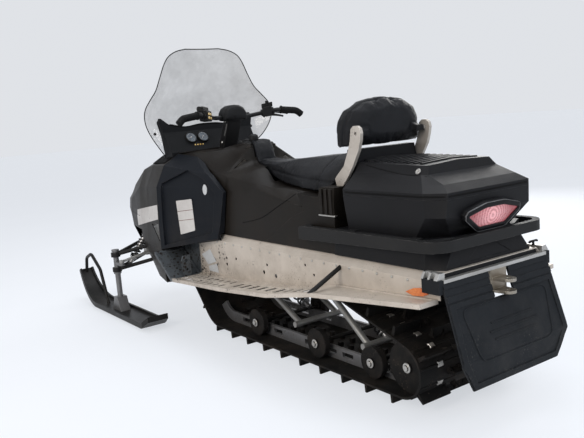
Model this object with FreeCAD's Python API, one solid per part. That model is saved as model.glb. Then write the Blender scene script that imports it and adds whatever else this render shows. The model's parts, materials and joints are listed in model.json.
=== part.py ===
"""Two-seat utility snowmobile on one wide track.

Millimetres. +X is the nose, +Y the left side, +Z up. z = 0 is the snow under
the track lugs and the ski runners, and X = 0 is the middle of the length.
"""
import FreeCAD, Part
import math
import os

V = FreeCAD.Vector

# Overall
# Middle of the length to the ski tips
HALF_LENGTH = 1545.0
SKI_STANCE = 900.0
SEAT_GAP = 0.3
PANEL = 4.0

# Tunnel and footboards
TUNNEL_HALF = 275.0
TUNNEL_WALL = 3.0
TUNNEL_TOP = 545.0
TUNNEL_BEVEL = (27.0, 30.0)
TUNNEL_FRONT = 520.0
TUNNEL_REAR = -1450.0
BOARD_PLATE = 4.0
BOARD_RIM = 12.0
RIM_RISE = 5.0
BOARD_HALF = 450.0
BOARD_REAR_HALF = 362.0
TOE_X = 405.0
TOE_Z = 440.0
BOARD_KNEE_X = 240.0
# Board surface from rear to front: x, z
BOARD_LINE = ((TUNNEL_REAR + 10.0, 455.0), (-928.0, 428.0), (-633.0, 378.0), (-250.0, 345.0), (BOARD_KNEE_X, 320.0))

# Track and its suspension
TRACK_WIDTH = 508.0
BELT = 8.0
LUG = 38.0
LUG_COUNT = 54
LUG_ROOT = 16.0
LUG_TIP = 9.0
REAR_IDLER_R = 100.0
REAR_IDLER_X = -1210.0
FRONT_CURVE_R = 150.0
FRONT_CURVE_X = 130.0
DRIVE_X = 370.0
DRIVE_Z = 385.0
DRIVE_R = 95.0
CARRIER_X = -560.0
CARRIER_Z = 402.0
CARRIER_R = 58.0
RAIL_Y = 150.0
RAIL_THICK = 14.0
RAIL_HEIGHT = 55.0
AXLE_R = 12.5
BOGIE_R = 64.7
BOGIE_AXLE_R = 9.5
BOGIE_Y = 190.0
WHEEL_WIDTH = 26.0
FRONT_ARM_TOP = (5.0, 345.0)
FRONT_ARM_FOOT = (-400.0, 132.0)
REAR_ARM_FOOT = (-880.0, 132.0)
ARM_Y = 110.0
ARM_R = 14.0
# Front ends of the slide rails' windows
WINDOWS = (-1090.0, -960.0, -830.0, -720.0, -560.0, -310.0, -120.0, -20.0)

# Body
FIRE_X = 430.0
BELT_LINE = 600.0
CONSOLE_HALF = 255.0
# Rear edge of the leg shield and its sunk middle: x, z
SHIELD_LINE = ((-14.0, 515.0), (-75.0, 760.0), (32.0, 839.0), (275.0, 950.0))
SHIELD_DEPTH = 12.0
SHIELD_POCKET = ((400.0, 470.0), (22.0, 556.0), (-12.0, 760.0), (72.0, 822.0), (215.0, 866.0), (396.0, 800.0))
# Line between console and seat, from the seat's nose backwards: x, z
SEAM = ((0.0, 984.0), (-42.0, 968.0), (-330.0, 803.0), (-430.0, 788.0), (-645.0, 776.0))
# Underside of the seat where it is let into the console, from its nose backwards: x, z
SEAT_FOOT = ((4.0, 984.0), (-30.0, 862.0), (-330.0, 803.0))
# Console's leaning knee facet: a point of it as x, y, z, then its rise per mm forwards and inwards
KNEE = (24.0, 250.0, 846.0)
KNEE_RISE = (0.178, 0.771)
# Line between console and seat base, downwards
SIDE_SEAM = ((-690.0, 704.0), (-600.0, 673.0), (-391.0, 552.0), (-384.0, TUNNEL_TOP))
SEAT_REAR = -890.0
SEAT_DECK = 808.0
# Line between seat and seat base, backwards to the deck
SEAT_EDGE = ((-749.0, 766.0), (-790.0, 768.0), (-802.0, SEAT_DECK), (SEAT_REAR, SEAT_DECK))
SUPPORT_REAR = -935.0
SUPPORT_HALF = 172.0
ARM_INNER_Y = 178.0
ARM_THICK = 14.0
ARM_PIVOT = (-979.0, 1012.0)
# Backrest arm's side outline from its front edge over the top and down the rear: x, z
ARM_SIDE = ((-944.0, 985.0), (-949.0, 1012.0), (-953.0, 1030.0), (-968.0, 1041.0), (-990.0, 1041.0),
            (-1005.0, 1030.0), (-1009.0, 1012.0), (-1004.0, 985.0), (-990.0, 946.0), (-953.0, 889.0),
            (-922.0, 849.0), (-884.0, SEAT_DECK), (-846.0, SEAT_DECK), (-838.0, 836.0), (-852.0, 850.0),
            (-897.0, 887.0), (-933.0, 955.0))
BASE_TOP = 648.0
BASE_REAR = TUNNEL_REAR + 14.0

# Cargo box and lid
BOX_FRONT = -950.0
BOX_REAR = TUNNEL_REAR + 2.0
BOX_HALF = 250.0
BOX_RIM = 783.0
BOX_WALL = 5.0
BOX_CORNER = (78.0, 35.0)
BOX_LEAN = 0.08
LID_LIP = 806.0
LID_TOP_FRONT = 901.0
LID_TOP_REAR = 891.0
LID_CROWN = 7.0
LID_SHOULDER = 861.0
RIB_RISE = 5.0
RIB_WIDTH = 14.0
RIB_PITCH = 34.0
RIB_COUNT = 9
HINGE_X = -949.0
HINGE_Z = 901.0
HINGE_R = 6.0
PIN_R = 2.5

# Rear end
BAR_LOW = 516.0
BAR_HIGH = 528.0
BAR_DEEP = 20.0
# Corner castings and blocks: inner and outer y
CORNER_Y = (276.0, 298.0)
FLAP_THICK = 6.0
FLAP_REACH = 95.0
HITCH_PIN_R = 8.0
HITCH_X = TUNNEL_REAR - 62.0
RACK_THICK = 26.0
RACK_HALF = 297.0
RACK_TOP = 652.0
RACK_FRONT = -705.0
RACK_REAR = TUNNEL_REAR - 20.0
RACK_CORNER = 80.0

# Skis and steering
SPINDLE_X = 970.0
SPINDLE_R = 16.0
SPINDLE_TOP = 396.0
CAP_LIFT = 7.0
RING_R = 27.0
RING_HEIGHT = 26.0
UPPER_RING_Z = 352.0
LOWER_RING_Z = 262.0
PIN_CLEARANCE = 0.4
FRAME_HALF = 212.0
FRAME_X = (770.0, 1060.0)
FRAME_Z = (300.0, 560.0)
LINK_R = 11.0
STEER_ARM = 85.0
STEER_ARM_Z = 308.0
STEER_ARM_THICK = 16.0
TIE_R = 8.0
TIE_LIFT = 0.4
SKI_WIDTH = 144.0
SKI_FLAT = 14.0
SKI_THICK = 16.0
# Radius and turn in degrees of the curled front
SKI_CURL = 360.0
SKI_TURN = 61.045
SKI_BEND_X = HALF_LENGTH - SKI_CURL * math.sin(math.radians(SKI_TURN))
SKI_LOOP_TOP = 320.0
SKI_REAR_X = 455.0
COLUMN_TOP = (232.0, 0.0, 1125.0)
COLUMN_FOOT = (405.0, 0.0, 755.7)
COLUMN_R = 14.0
BAR_R = 11.0
GRIP_R = 18.0
# Left half of the bar from the grip's end to the middle
BAR_LINE = ((122.0, 372.0, 1102.0), (128.0, 346.0, 1124.0), (150.0, 235.0, 1137.0), (228.0, 110.0, 1116.0))

SKI_Y = SKI_STANCE / 2
REAR_IDLER_Z = LUG + BELT + REAR_IDLER_R
FRONT_CURVE_Z = LUG + BELT + FRONT_CURVE_R


def polygon(points):
    """Closed wire through 3D points."""
    return Part.makePolygon(points + points[:1])


def along_x(outline, x0, x1):
    """Prism of a (y, z) outline from x0 to x1."""
    face = Part.Face(polygon([V(x0, y, z) for y, z in outline]))
    return face.extrude(V(x1 - x0, 0, 0))


def along_y(outline, y0, y1):
    """Prism of an (x, z) outline from y0 to y1."""
    face = Part.Face(polygon([V(x, y0, z) for x, z in outline]))
    return face.extrude(V(0, y1 - y0, 0))


def along_z(outline, z0, z1):
    """Prism of an (x, y) outline from z0 to z1."""
    face = Part.Face(polygon([V(x, y, z0) for x, y in outline]))
    return face.extrude(V(0, 0, z1 - z0))


def block(x0, x1, y0, y1, z0, z1):
    """Box between two corners."""
    return Part.makeBox(x1 - x0, y1 - y0, z1 - z0, V(x0, y0, z0))


def rod(start, end, radius):
    """Round bar between two points."""
    a = V(*start)
    b = V(*end)
    return Part.makeCylinder(radius, (b - a).Length, a, b - a)


def cross_rod(x, z, radius, half):
    """Round bar across the machine."""
    return rod((x, -half, z), (x, half, z), radius)


def flipped(shape):
    """The same shape on the other side of the machine."""
    return shape.mirror(V(0, 0, 0), V(0, 1, 0))


def both(shape):
    """The left shape with its right twin."""
    return Part.makeCompound([shape, flipped(shape)])


def symmetric(half):
    """Closed (y, z) outline from its left half, listed from top centre to bottom centre."""
    return list(half) + [(-y, z) for y, z in reversed(half) if y > 0]


def inset(outline, wall):
    """Closed outline with every edge moved inwards by the wall."""
    count = len(outline)
    area = sum(outline[i - 1][0] * outline[i][1] - outline[i][0] * outline[i - 1][1] for i in range(count))
    side = 1.0 if area > 0 else -1.0
    moved = []
    for i in range(count):
        normals = []
        for a, b in ((outline[i - 1], outline[i]), (outline[i], outline[(i + 1) % count])):
            length = math.hypot(b[0] - a[0], b[1] - a[1])
            normals.append((-side * (b[1] - a[1]) / length, side * (b[0] - a[0]) / length))
        scale = wall / (1 + normals[0][0] * normals[1][0] + normals[0][1] * normals[1][1])
        moved.append((outline[i][0] + scale * (normals[0][0] + normals[1][0]),
                      outline[i][1] + scale * (normals[0][1] + normals[1][1])))
    return moved


def loft_x(sections):
    """Ruled solid through (x, (y, z) outline) sections."""
    wires = [polygon([V(x, y, z) for y, z in outline]) for x, outline in sections]
    return Part.makeLoft(wires, True, True)


def loft_z(sections):
    """Ruled solid through (z, (x, y) outline) sections."""
    wires = [polygon([V(x, y, z) for x, y in outline]) for z, outline in sections]
    return Part.makeLoft(wires, True, True)


def bent_path(points, radius):
    """Wire of straight runs joined by tangent arcs."""
    corners = [V(*p) for p in points]
    edges = []
    start = corners[0]
    for before, corner, after in zip(corners, corners[1:], corners[2:]):
        back = (before - corner).normalize()
        ahead = (after - corner).normalize()
        half_turn = (math.pi - back.getAngle(ahead)) / 2
        tangent = radius * math.tan(half_turn)
        entry = corner + back * tangent
        leave = corner + ahead * tangent
        inward = (back + ahead).normalize()
        middle = corner + inward * (radius / math.cos(half_turn) - radius)
        edges.append(Part.LineSegment(start, entry).toShape())
        edges.append(Part.Arc(entry, middle, leave).toShape())
        start = leave
    edges.append(Part.LineSegment(start, corners[-1]).toShape())
    return Part.Wire(edges)


def pipe(points, radius, bend):
    """Round tube along a bent path."""
    path = bent_path(points, bend)
    first = V(*points[0])
    ring = Part.Wire([Part.makeCircle(radius, first, V(*points[1]) - first)])
    return path.makePipeShell([ring], True, False)


def board_height(x):
    """Height of the footboard's upper face."""
    for (x0, z0), (x1, z1) in zip(BOARD_LINE, BOARD_LINE[1:]):
        if x0 <= x <= x1:
            return z0 + (z1 - z0) * (x - x0) / (x1 - x0)
    return BOARD_LINE[0][1] if x < BOARD_LINE[0][0] else BOARD_LINE[-1][1]


def tunnel():
    """Folded sheet over the track, with bevelled upper edges, a closed front and service holes."""
    across, down = TUNNEL_BEVEL
    section = symmetric([(TUNNEL_HALF - across, TUNNEL_TOP), (TUNNEL_HALF, TUNNEL_TOP - down), (TUNNEL_HALF, 0.0)])
    inner = inset(section, TUNNEL_WALL)
    side = [(TUNNEL_REAR, BOARD_LINE[0][1])] + list(BOARD_LINE)
    side += [(TUNNEL_FRONT, BOARD_LINE[-1][1]), (TUNNEL_FRONT, TUNNEL_TOP + 1), (TUNNEL_REAR, TUNNEL_TOP + 1)]
    sheet = along_x(section, TUNNEL_REAR, TUNNEL_FRONT)
    sheet = sheet.common(along_y(side, -TUNNEL_HALF, TUNNEL_HALF))
    # Service holes of both sides: x, z, radius
    holes = ((-50.0, 434.0, 7.0), (-48.0, 403.0, 8.0), (-140.0, 440.0, 7.0), (-380.0, 408.0, 9.0),
             (-410.0, 445.0, 7.0), (-476.0, 403.0, 9.0), (-702.0, 482.0, 6.0), (-759.0, 447.0, 6.0))
    drills = [cross_rod(x, z, radius, TUNNEL_HALF + 1) for x, z, radius in holes]
    sheet = sheet.cut(along_x(inner, TUNNEL_REAR - 1, TUNNEL_FRONT - TUNNEL_WALL))
    return sheet.cut(drills)


def footboard():
    """Left board with its rolled rim and snow slots, rising into the toe plate and its stop."""
    line = list(BOARD_LINE) + [(TOE_X, TOE_Z)]

    def band(up, down, y0, y1):
        return along_y([(x, z + up) for x, z in line] + [(x, z - down) for x, z in reversed(line)], y0, y1)

    plan = [(BOARD_LINE[0][0], TUNNEL_HALF), (BOARD_LINE[0][0], BOARD_REAR_HALF), (-900.0, BOARD_HALF - 12),
            (BOARD_KNEE_X, BOARD_HALF), (TOE_X, BOARD_HALF), (TOE_X, TUNNEL_HALF)]
    sheet = along_z(plan, 0, TUNNEL_TOP)
    ring = sheet.cut(along_z(inset(plan, BOARD_RIM), 0, TUNNEL_TOP))
    plate = band(0, BOARD_PLATE, TUNNEL_HALF, BOARD_HALF).common(sheet)
    rim = band(RIM_RISE, BOARD_RIM, TUNNEL_HALF, BOARD_HALF).common(ring)
    # Rows of snow slots: first x, pitch, count, inner y, outer y
    rows = ((-200.0, 54.0, 8, TUNNEL_HALF + 30, TUNNEL_HALF + 75),
            (-200.0, 54.0, 8, TUNNEL_HALF + 95, TUNNEL_HALF + 140),
            (-840.0, 68.0, 9, TUNNEL_HALF + 45, TUNNEL_HALF + 115))
    slots = []
    for first, pitch, count, y0, y1 in rows:
        for index in range(count):
            x = first + pitch * index
            slots.append(block(x, x + pitch / 2, y0, y1, 0, TUNNEL_TOP))
    return plate.fuse([rim, toe_stop()]).cut(slots).removeSplitter()


def toe_stop():
    """Upright bracket with two holes at the front of the left board."""
    foot = board_height(BOARD_KNEE_X - 4) - BOARD_PLATE / 2
    outline = [(330.0, foot), (374.0, foot), (386.0, foot + 80), (372.0, foot + 110), (332.0, foot + 112)]
    plate = along_x(outline, BOARD_KNEE_X - 8, BOARD_KNEE_X)
    return plate.cut([rod((BOARD_KNEE_X - 20, 354.0, foot + lift), (BOARD_KNEE_X + 20, 354.0, foot + lift), 9.0)
                      for lift in (36.0, 82.0)])


def board_strut():
    """Brace from the left board's rim up to the tunnel side."""
    x = -932.0
    radius = 9.0
    foot = board_height(x - radius - 3) + RIM_RISE + SEAT_GAP
    brace = rod((x, BOARD_HALF + 10, foot - 18), (x, TUNNEL_HALF - 20, TUNNEL_TOP - 34), radius)
    return brace.common(block(x - 20, x + 20, TUNNEL_HALF, BOARD_HALF + 40, foot, TUNNEL_TOP))


def loop_wheels():
    """Round guides of the track loop, counter-clockwise: x, z, radius."""
    return ((REAR_IDLER_X, REAR_IDLER_Z, REAR_IDLER_R), (FRONT_CURVE_X, FRONT_CURVE_Z, FRONT_CURVE_R),
            (DRIVE_X, DRIVE_Z, DRIVE_R), (CARRIER_X, CARRIER_Z, CARRIER_R))


def loop_runs(offset):
    """Straight runs of the loop at an offset from its inner face: start, end, outward normal."""
    wheels = loop_wheels()
    runs = []
    for (x0, z0, r0), (x1, z1, r1) in zip(wheels, wheels[1:] + wheels[:1]):
        length = math.hypot(x1 - x0, z1 - z0)
        ux, uz = (x1 - x0) / length, (z1 - z0) / length
        lean = (r0 - r1) / length
        right = math.sqrt(1 - lean * lean)
        nx, nz = ux * lean + uz * right, uz * lean - ux * right
        start = (x0 + nx * (r0 + offset), z0 + nz * (r0 + offset))
        end = (x1 + nx * (r1 + offset), z1 + nz * (r1 + offset))
        runs.append((start, end, (nx, nz)))
    return runs


def loop_arcs(offset):
    """Arc round each wheel: centre, radius, entry angle, leaving angle."""
    runs = loop_runs(offset)
    arcs = []
    for index, (x, z, radius) in enumerate(loop_wheels()):
        entry = runs[index - 1][2]
        leave = runs[index][2]
        a0 = math.atan2(entry[1], entry[0])
        a1 = math.atan2(leave[1], leave[0])
        while a1 < a0:
            a1 += 2 * math.pi
        arcs.append(((x, z), radius + offset, a0, a1))
    return arcs


def loop_face(offset, y):
    """Face filling the loop at an offset."""
    edges = []
    for run, arc in zip(loop_runs(offset), loop_arcs(offset)):
        (x, z), radius, a0, a1 = arc
        ends = [V(x + radius * math.cos(a), y, z + radius * math.sin(a)) for a in (a0, (a0 + a1) / 2, a1)]
        edges.append(Part.Arc(*ends).toShape())
        edges.append(Part.LineSegment(ends[2], V(run[1][0], y, run[1][1])).toShape())
    return Part.Face(Part.Wire(Part.sortEdges(edges)[0]))


def loop_place(distance, offset):
    """Point and outward normal at a distance round the loop's outer belt face."""
    for run, arc in zip(loop_runs(offset), loop_arcs(offset)):
        (x, z), radius, a0, a1 = arc
        arc_length = radius * (a1 - a0)
        if distance <= arc_length:
            angle = a0 + distance / radius
            nx, nz = math.cos(angle), math.sin(angle)
            return (x + radius * nx, z + radius * nz), (nx, nz)
        distance -= arc_length
        (x0, z0), (x1, z1), normal = run
        run_length = math.hypot(x1 - x0, z1 - z0)
        if distance <= run_length:
            share = distance / run_length
            return (x0 + (x1 - x0) * share, z0 + (z1 - z0) * share), normal
        distance -= run_length
    return loop_place(0.0, offset)


def loop_length(offset):
    """Length of the loop at an offset."""
    straight = sum(math.dist(start, end) for start, end, normal in loop_runs(offset))
    return straight + sum(radius * (a1 - a0) for centre, radius, a0, a1 in loop_arcs(offset))


def track():
    """Endless belt with rows of paddle lugs, alternately at the middle and at the sides."""
    half = TRACK_WIDTH / 2
    belt = loop_face(BELT, -half).cut(loop_face(0.0, -half)).extrude(V(0, TRACK_WIDTH, 0))
    rows = (((-0.46, 0.46),), ((-0.96, -0.4), (0.4, 0.96)))
    lugs = []
    pitch = loop_length(BELT) / LUG_COUNT
    for index in range(LUG_COUNT):
        (x, z), (nx, nz) = loop_place(index * pitch, BELT)
        outline = []
        for along, out in ((-LUG_ROOT / 2, -1.0), (LUG_ROOT / 2, -1.0), (LUG_TIP / 2, LUG), (-LUG_TIP / 2, LUG)):
            outline.append((x + nx * out - nz * along, z + nz * out + nx * along))
        for low, high in rows[index % 2]:
            lugs.append(along_y(outline, low * half, high * half))
    return belt.fuse(lugs)


def rail():
    """Left slide rail on the lower run, windowed, curved up in front and forked round the rear axle."""
    low = FRONT_CURVE_Z - FRONT_CURVE_R + SEAT_GAP
    radius = FRONT_CURVE_R - SEAT_GAP
    inner = radius - RAIL_HEIGHT
    angle = math.radians(-32)
    y = RAIL_Y - RAIL_THICK / 2

    def at(r, a):
        return V(FRONT_CURVE_X + r * math.cos(a), y, FRONT_CURVE_Z + r * math.sin(a))

    down = -math.pi / 2
    middle = (down + angle) / 2
    back = [(REAR_IDLER_X + 90, low + RAIL_HEIGHT), (REAR_IDLER_X + 30, REAR_IDLER_Z + 26),
            (REAR_IDLER_X - 26, REAR_IDLER_Z + 26), (REAR_IDLER_X - 50, REAR_IDLER_Z),
            (REAR_IDLER_X - 40, REAR_IDLER_Z - 66), (REAR_IDLER_X + 24, low)]
    corners = [at(inner, down)] + [V(x, y, z) for x, z in back] + [at(radius, down)]
    edges = [Part.LineSegment(a, b).toShape() for a, b in zip(corners, corners[1:])]
    edges.append(Part.Arc(at(radius, down), at(radius, middle), at(radius, angle)).toShape())
    edges.append(Part.LineSegment(at(radius, angle), at(inner, angle)).toShape())
    edges.append(Part.Arc(at(inner, angle), at(inner, middle), at(inner, down)).toShape())
    plate = Part.Face(Part.Wire(Part.sortEdges(edges)[0])).extrude(V(0, RAIL_THICK, 0))
    windows = [block(x, x + 70, y - 1, y + RAIL_THICK + 1, low + 18, low + RAIL_HEIGHT - 14)
               for x in WINDOWS]
    return plate.cut(windows).cut(cross_rod(REAR_IDLER_X, REAR_IDLER_Z, AXLE_R, RAIL_Y + RAIL_THICK))


def wheel(x, y, z, radius, bore):
    """Idler wheel: tyre, thin web and hub on its axle."""
    half = WHEEL_WIDTH / 2
    profile = [(0.0, -20.0), (bore + 9, -20.0), (bore + 9, -4.0), (radius - 16, -4.0), (radius - 16, -half),
               (radius, -half), (radius, half), (radius - 16, half), (radius - 16, 4.0), (bore + 9, 4.0),
               (bore + 9, 20.0), (0.0, 20.0)]
    face = Part.Face(polygon([V(x + r, y + w, z) for r, w in profile]))
    return face.revolve(V(x, y, z), V(0, 1, 0), 360)


def idler_wheels():
    """Rear idlers, lower bogies and upper carriers on their cross axles."""
    bogie_z = REAR_IDLER_Z - REAR_IDLER_R + BOGIE_R + SEAT_GAP
    # x, z, wheel radius, axle radius, wheel places in y
    axles = ((REAR_IDLER_X, REAR_IDLER_Z, REAR_IDLER_R - SEAT_GAP, AXLE_R, (75.0, 195.0)),
             (-1000.0, bogie_z, BOGIE_R, BOGIE_AXLE_R, (BOGIE_Y,)),
             (-640.0, bogie_z, BOGIE_R, BOGIE_AXLE_R, (BOGIE_Y,)),
             (-160.0, bogie_z, BOGIE_R, BOGIE_AXLE_R, (BOGIE_Y,)),
             (CARRIER_X, CARRIER_Z, CARRIER_R - SEAT_GAP, AXLE_R, (75.0,)))
    sets = []
    for x, z, radius, axle, places in axles:
        reach = TUNNEL_HALF - TUNNEL_WALL if z > BOARD_LINE[-1][1] else places[-1] + 22
        bodies = [wheel(x, side * y, z, radius, axle) for y in places for side in (-1, 1)]
        sets.append(cross_rod(x, z, axle, reach).fuse(bodies))
    return Part.makeCompound(sets)


def suspension_arms():
    """Front and rear swing arms, each a pair of legs between two cross tubes."""
    clear = CARRIER_R + 2
    pieces = []
    front = [rod((FRONT_ARM_TOP[0], side * ARM_Y, FRONT_ARM_TOP[1]), (FRONT_ARM_FOOT[0], side * ARM_Y,
             FRONT_ARM_FOOT[1]), ARM_R) for side in (-1, 1)]
    front.append(cross_rod(FRONT_ARM_FOOT[0], FRONT_ARM_FOOT[1], ARM_R, RAIL_Y - RAIL_THICK / 2))
    top = cross_rod(FRONT_ARM_TOP[0], FRONT_ARM_TOP[1], ARM_R, TUNNEL_HALF - TUNNEL_WALL)
    pieces.append(top.fuse(front))
    start = (CARRIER_X - 40.0, CARRIER_Z - 45.0)
    rear = [rod((start[0], side * ARM_Y, start[1]), (REAR_ARM_FOOT[0], side * ARM_Y, REAR_ARM_FOOT[1]), ARM_R)
            for side in (-1, 1)]
    rear += [rod((CARRIER_X, side * ARM_Y, CARRIER_Z), (start[0], side * ARM_Y, start[1]), ARM_R)
             for side in (-1, 1)]
    foot = cross_rod(REAR_ARM_FOOT[0], REAR_ARM_FOOT[1], ARM_R, RAIL_Y - RAIL_THICK / 2)
    axle = cross_rod(CARRIER_X, CARRIER_Z, AXLE_R, clear + RAIL_Y)
    pieces.append(foot.fuse(rear).cut(axle))
    return Part.makeCompound(pieces)


def shock(top, foot, body_r, coil_r):
    """Damper with its spring between two eyes."""
    a = V(*top)
    b = V(*foot)
    down = (b - a).normalize()
    upper = a + down * 42
    lower = b - down * 42
    body = Part.makeCylinder(body_r, (b - a).Length, a, down)
    spring = Part.makeCylinder(coil_r, (lower - upper).Length, upper, down)
    return body.fuse(spring)


def rear_shocks():
    """Two dampers on the middle line of the rear suspension."""
    front = shock((FRONT_ARM_TOP[0], 0, FRONT_ARM_TOP[1]), (-330.0, 0, 176.0), 11.0, 30.0)
    front = front.cut(cross_rod(FRONT_ARM_TOP[0], FRONT_ARM_TOP[1], ARM_R, 60))
    rear = shock((CARRIER_X, 0, CARRIER_Z), (REAR_ARM_FOOT[0], 0, REAR_ARM_FOOT[1]), 11.0, 30.0)
    rear = rear.cut(cross_rod(CARRIER_X, CARRIER_Z, AXLE_R, 60))
    rear = rear.cut(cross_rod(REAR_ARM_FOOT[0], REAR_ARM_FOOT[1], ARM_R, 60))
    return Part.makeCompound([front, rear])


def drive_axle():
    """Track drive shaft with its two sprockets."""
    shaft = cross_rod(DRIVE_X, DRIVE_Z, 14.0, TUNNEL_HALF - TUNNEL_WALL)
    wheels = [rod((DRIVE_X, y - 20, DRIVE_Z), (DRIVE_X, y + 20, DRIVE_Z), DRIVE_R - SEAT_GAP)
              for y in (-110.0, 110.0)]
    return shaft.fuse(wheels)


# Body sections from nose to windscreen: x, then the left half as (y, z) from top centre down
HOOD = ((1250.0, ((0, 725), (120, 718), (180, 695), (205, 660), (212, BELT_LINE), (0, BELT_LINE))),
        (1000.0, ((0, 838), (170, 828), (262, 762), (298, 680), (306, BELT_LINE), (0, BELT_LINE))),
        (760.0, ((0, 915), (200, 905), (300, 860), (342, 765), (352, BELT_LINE), (0, BELT_LINE))),
        (600.0, ((0, 950), (220, 942), (318, 886), (368, 775), (378, BELT_LINE), (0, BELT_LINE))),
        (FIRE_X, ((0, 957), (230, 948), (332, 890), (388, 780), (396, BELT_LINE), (0, BELT_LINE))))
PAN = ((1250.0, ((0, BELT_LINE), (212, BELT_LINE), (202, 540), (172, 455), (0, 445))),
       (1000.0, ((0, BELT_LINE), (306, BELT_LINE), (300, 500), (226, 315), (0, 284))),
       (838.0, ((0, BELT_LINE), (340, BELT_LINE), (338, 480), (270, 300), (0, 262))),
       (640.0, ((0, BELT_LINE), (372, BELT_LINE), (374, 450), (330, 260), (0, 236))),
       (FIRE_X, ((0, BELT_LINE), (396, BELT_LINE), (397, 445), (385, 262), (0, 232))))


def skin(table, wall, ends):
    """Solid loft through a section table, inset by a wall and with its two end sections moved."""
    sections = []
    for index, (x, half) in enumerate(table):
        outline = symmetric([(float(y), float(z)) for y, z in half])
        if wall:
            outline = inset(outline, wall)
        if index == 0:
            x += ends[0]
        if index == len(table) - 1:
            x += ends[1]
        sections.append((x, outline))
    return loft_x(sections)


def hood():
    """Upper front shell, open underneath and behind."""
    hollow = skin(HOOD, PANEL, (-PANEL, -1.0))
    sill = block(FIRE_X - 2, 1250 - PANEL, -190, 190, BELT_LINE - 1, BELT_LINE + PANEL + 1)
    return skin(HOOD, 0, (0, 0)).cut(hollow).cut(sill)


def bellypan():
    """Lower front shell, open above, vented, with wells for the ski suspension and the track's front."""
    hollow = skin(PAN, PANEL, (-PANEL, PANEL))
    shell = skin(PAN, 0, (0, 0)).cut(hollow)
    mouth = block(FIRE_X + 2, 1250 - PANEL, -190, 190, BELT_LINE - PANEL - 1, BELT_LINE + 1)
    track_gap = block(FIRE_X - 5, TUNNEL_FRONT + 8, -TUNNEL_HALF - 4, TUNNEL_HALF + 4, 0, TUNNEL_TOP + 4)
    shell = shell.cut(mouth).cut(track_gap)
    vent = along_y([(FIRE_X + 122, 574.0), (FIRE_X + 10, 582.0), (FIRE_X + 10, 486.0)], 330, 420)
    shell = shell.cut([vent, flipped(vent)])
    for side in (-1, 1):
        low, high = sorted((side * FRAME_HALF, side * 500))
        shell = shell.cut(block(FRAME_X[0], FRAME_X[1], low, high, 0, 520))
    return shell.cut(frame_form(SEAT_GAP))


def frame_form(grow):
    """Front frame's outer form, its lower front edge cut to the pan's line."""
    x0, x1 = FRAME_X
    z0, z1 = FRAME_Z
    side = [(x0 - grow, z0 - grow), (x1 - 60, z0 - grow), (x1 + grow, z0 + 45 - grow), (x1 + grow, z1 + grow),
            (x0 - grow, z1 + grow)]
    return along_y(side, -FRAME_HALF, FRAME_HALF)


def front_frame():
    """Welded box between the skis that carries the arms, dampers and steering."""
    x0, x1 = FRAME_X
    z0, z1 = FRAME_Z
    wall = 4.0
    hollow = block(x0 + wall, x1 - wall, -FRAME_HALF + wall, FRAME_HALF - wall, z0 + wall, z1 + 1)
    box = frame_form(0).cut(hollow.cut(block(x1 - 64, x1, -FRAME_HALF, FRAME_HALF, z0, z0 + 49)))
    lugs = []
    for x, z in ARM_PIVOTS + (SHOCK_TOP,):
        lugs.append(block(x - 20, x + 20, FRAME_HALF, FRAME_HALF + 24, z - 20, z + 20))
    slot_x = SPINDLE_X - STEER_ARM
    share = (FRAME_HALF - TIE_INNER[1]) / (SKI_Y - TIE_INNER[1])
    slot_z = TIE_INNER[2] + (TIE_OUTER_Z - TIE_INNER[2]) * share
    slot = block(slot_x - 22, slot_x + 22, -FRAME_HALF - 1, FRAME_HALF + 1, slot_z - 26, slot_z + 26)
    box = box.fuse(lugs + [flipped(lug) for lug in lugs])
    return box.cut(slot)


# Inner pivots of the ski arms: x, z, upper pair then lower pair
ARM_PIVOTS = ((1030.0, 424.0), (800.0, 424.0), (1030.0, 340.0), (800.0, 336.0))
SHOCK_TOP = (930.0, 528.0)
SHOCK_FOOT = (960.0, 372.0)
TIE_INNER = (SPINDLE_X - STEER_ARM, 130.0, 385.0)
TIE_OUTER_Z = STEER_ARM_Z + STEER_ARM_THICK + TIE_LIFT + TIE_R


def ring(z, grow):
    """Arm's eye round the left spindle."""
    return Part.makeCylinder(RING_R + grow, RING_HEIGHT, V(SPINDLE_X, SKI_Y, z))


def arm_leg_point(z_ring, pivot, y):
    """Point of a leg's middle line at a distance from the machine's middle plane."""
    share = (SKI_Y - y) / (SKI_Y - FRAME_HALF)
    middle = z_ring + RING_HEIGHT / 2
    return (SPINDLE_X + (pivot[0] - SPINDLE_X) * share, y, middle + (pivot[1] - middle) * share)


def shock_bar(grow):
    """Bar between the left lower arm's legs that takes the damper's foot."""
    front = arm_leg_point(LOWER_RING_Z, ARM_PIVOTS[2], SHOCK_FOOT[1])
    rear = arm_leg_point(LOWER_RING_Z, ARM_PIVOTS[3], SHOCK_FOOT[1])
    return rod(rear, front, LINK_R - 2 + grow)


def front_arms():
    """Left and right ski arms: two forked arms a side, each ending in an eye."""
    arms = []
    for z, pivots in ((UPPER_RING_Z, ARM_PIVOTS[:2]), (LOWER_RING_Z, ARM_PIVOTS[2:])):
        middle = z + RING_HEIGHT / 2
        legs = [rod((SPINDLE_X, SKI_Y, middle), (x, FRAME_HALF, pivot_z), LINK_R) for x, pivot_z in pivots]
        if z == LOWER_RING_Z:
            legs.append(shock_bar(0))
        arm = ring(z, 0).fuse(legs)
        arm = arm.cut(block(0, HALF_LENGTH, 0, FRAME_HALF + 24, 0, TUNNEL_TOP))
        arms.append(arm.cut(rod((SPINDLE_X, SKI_Y, 0), (SPINDLE_X, SKI_Y, TUNNEL_TOP),
                                SPINDLE_R + PIN_CLEARANCE)))
    return Part.makeCompound(arms + [flipped(arm) for arm in arms])


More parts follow.
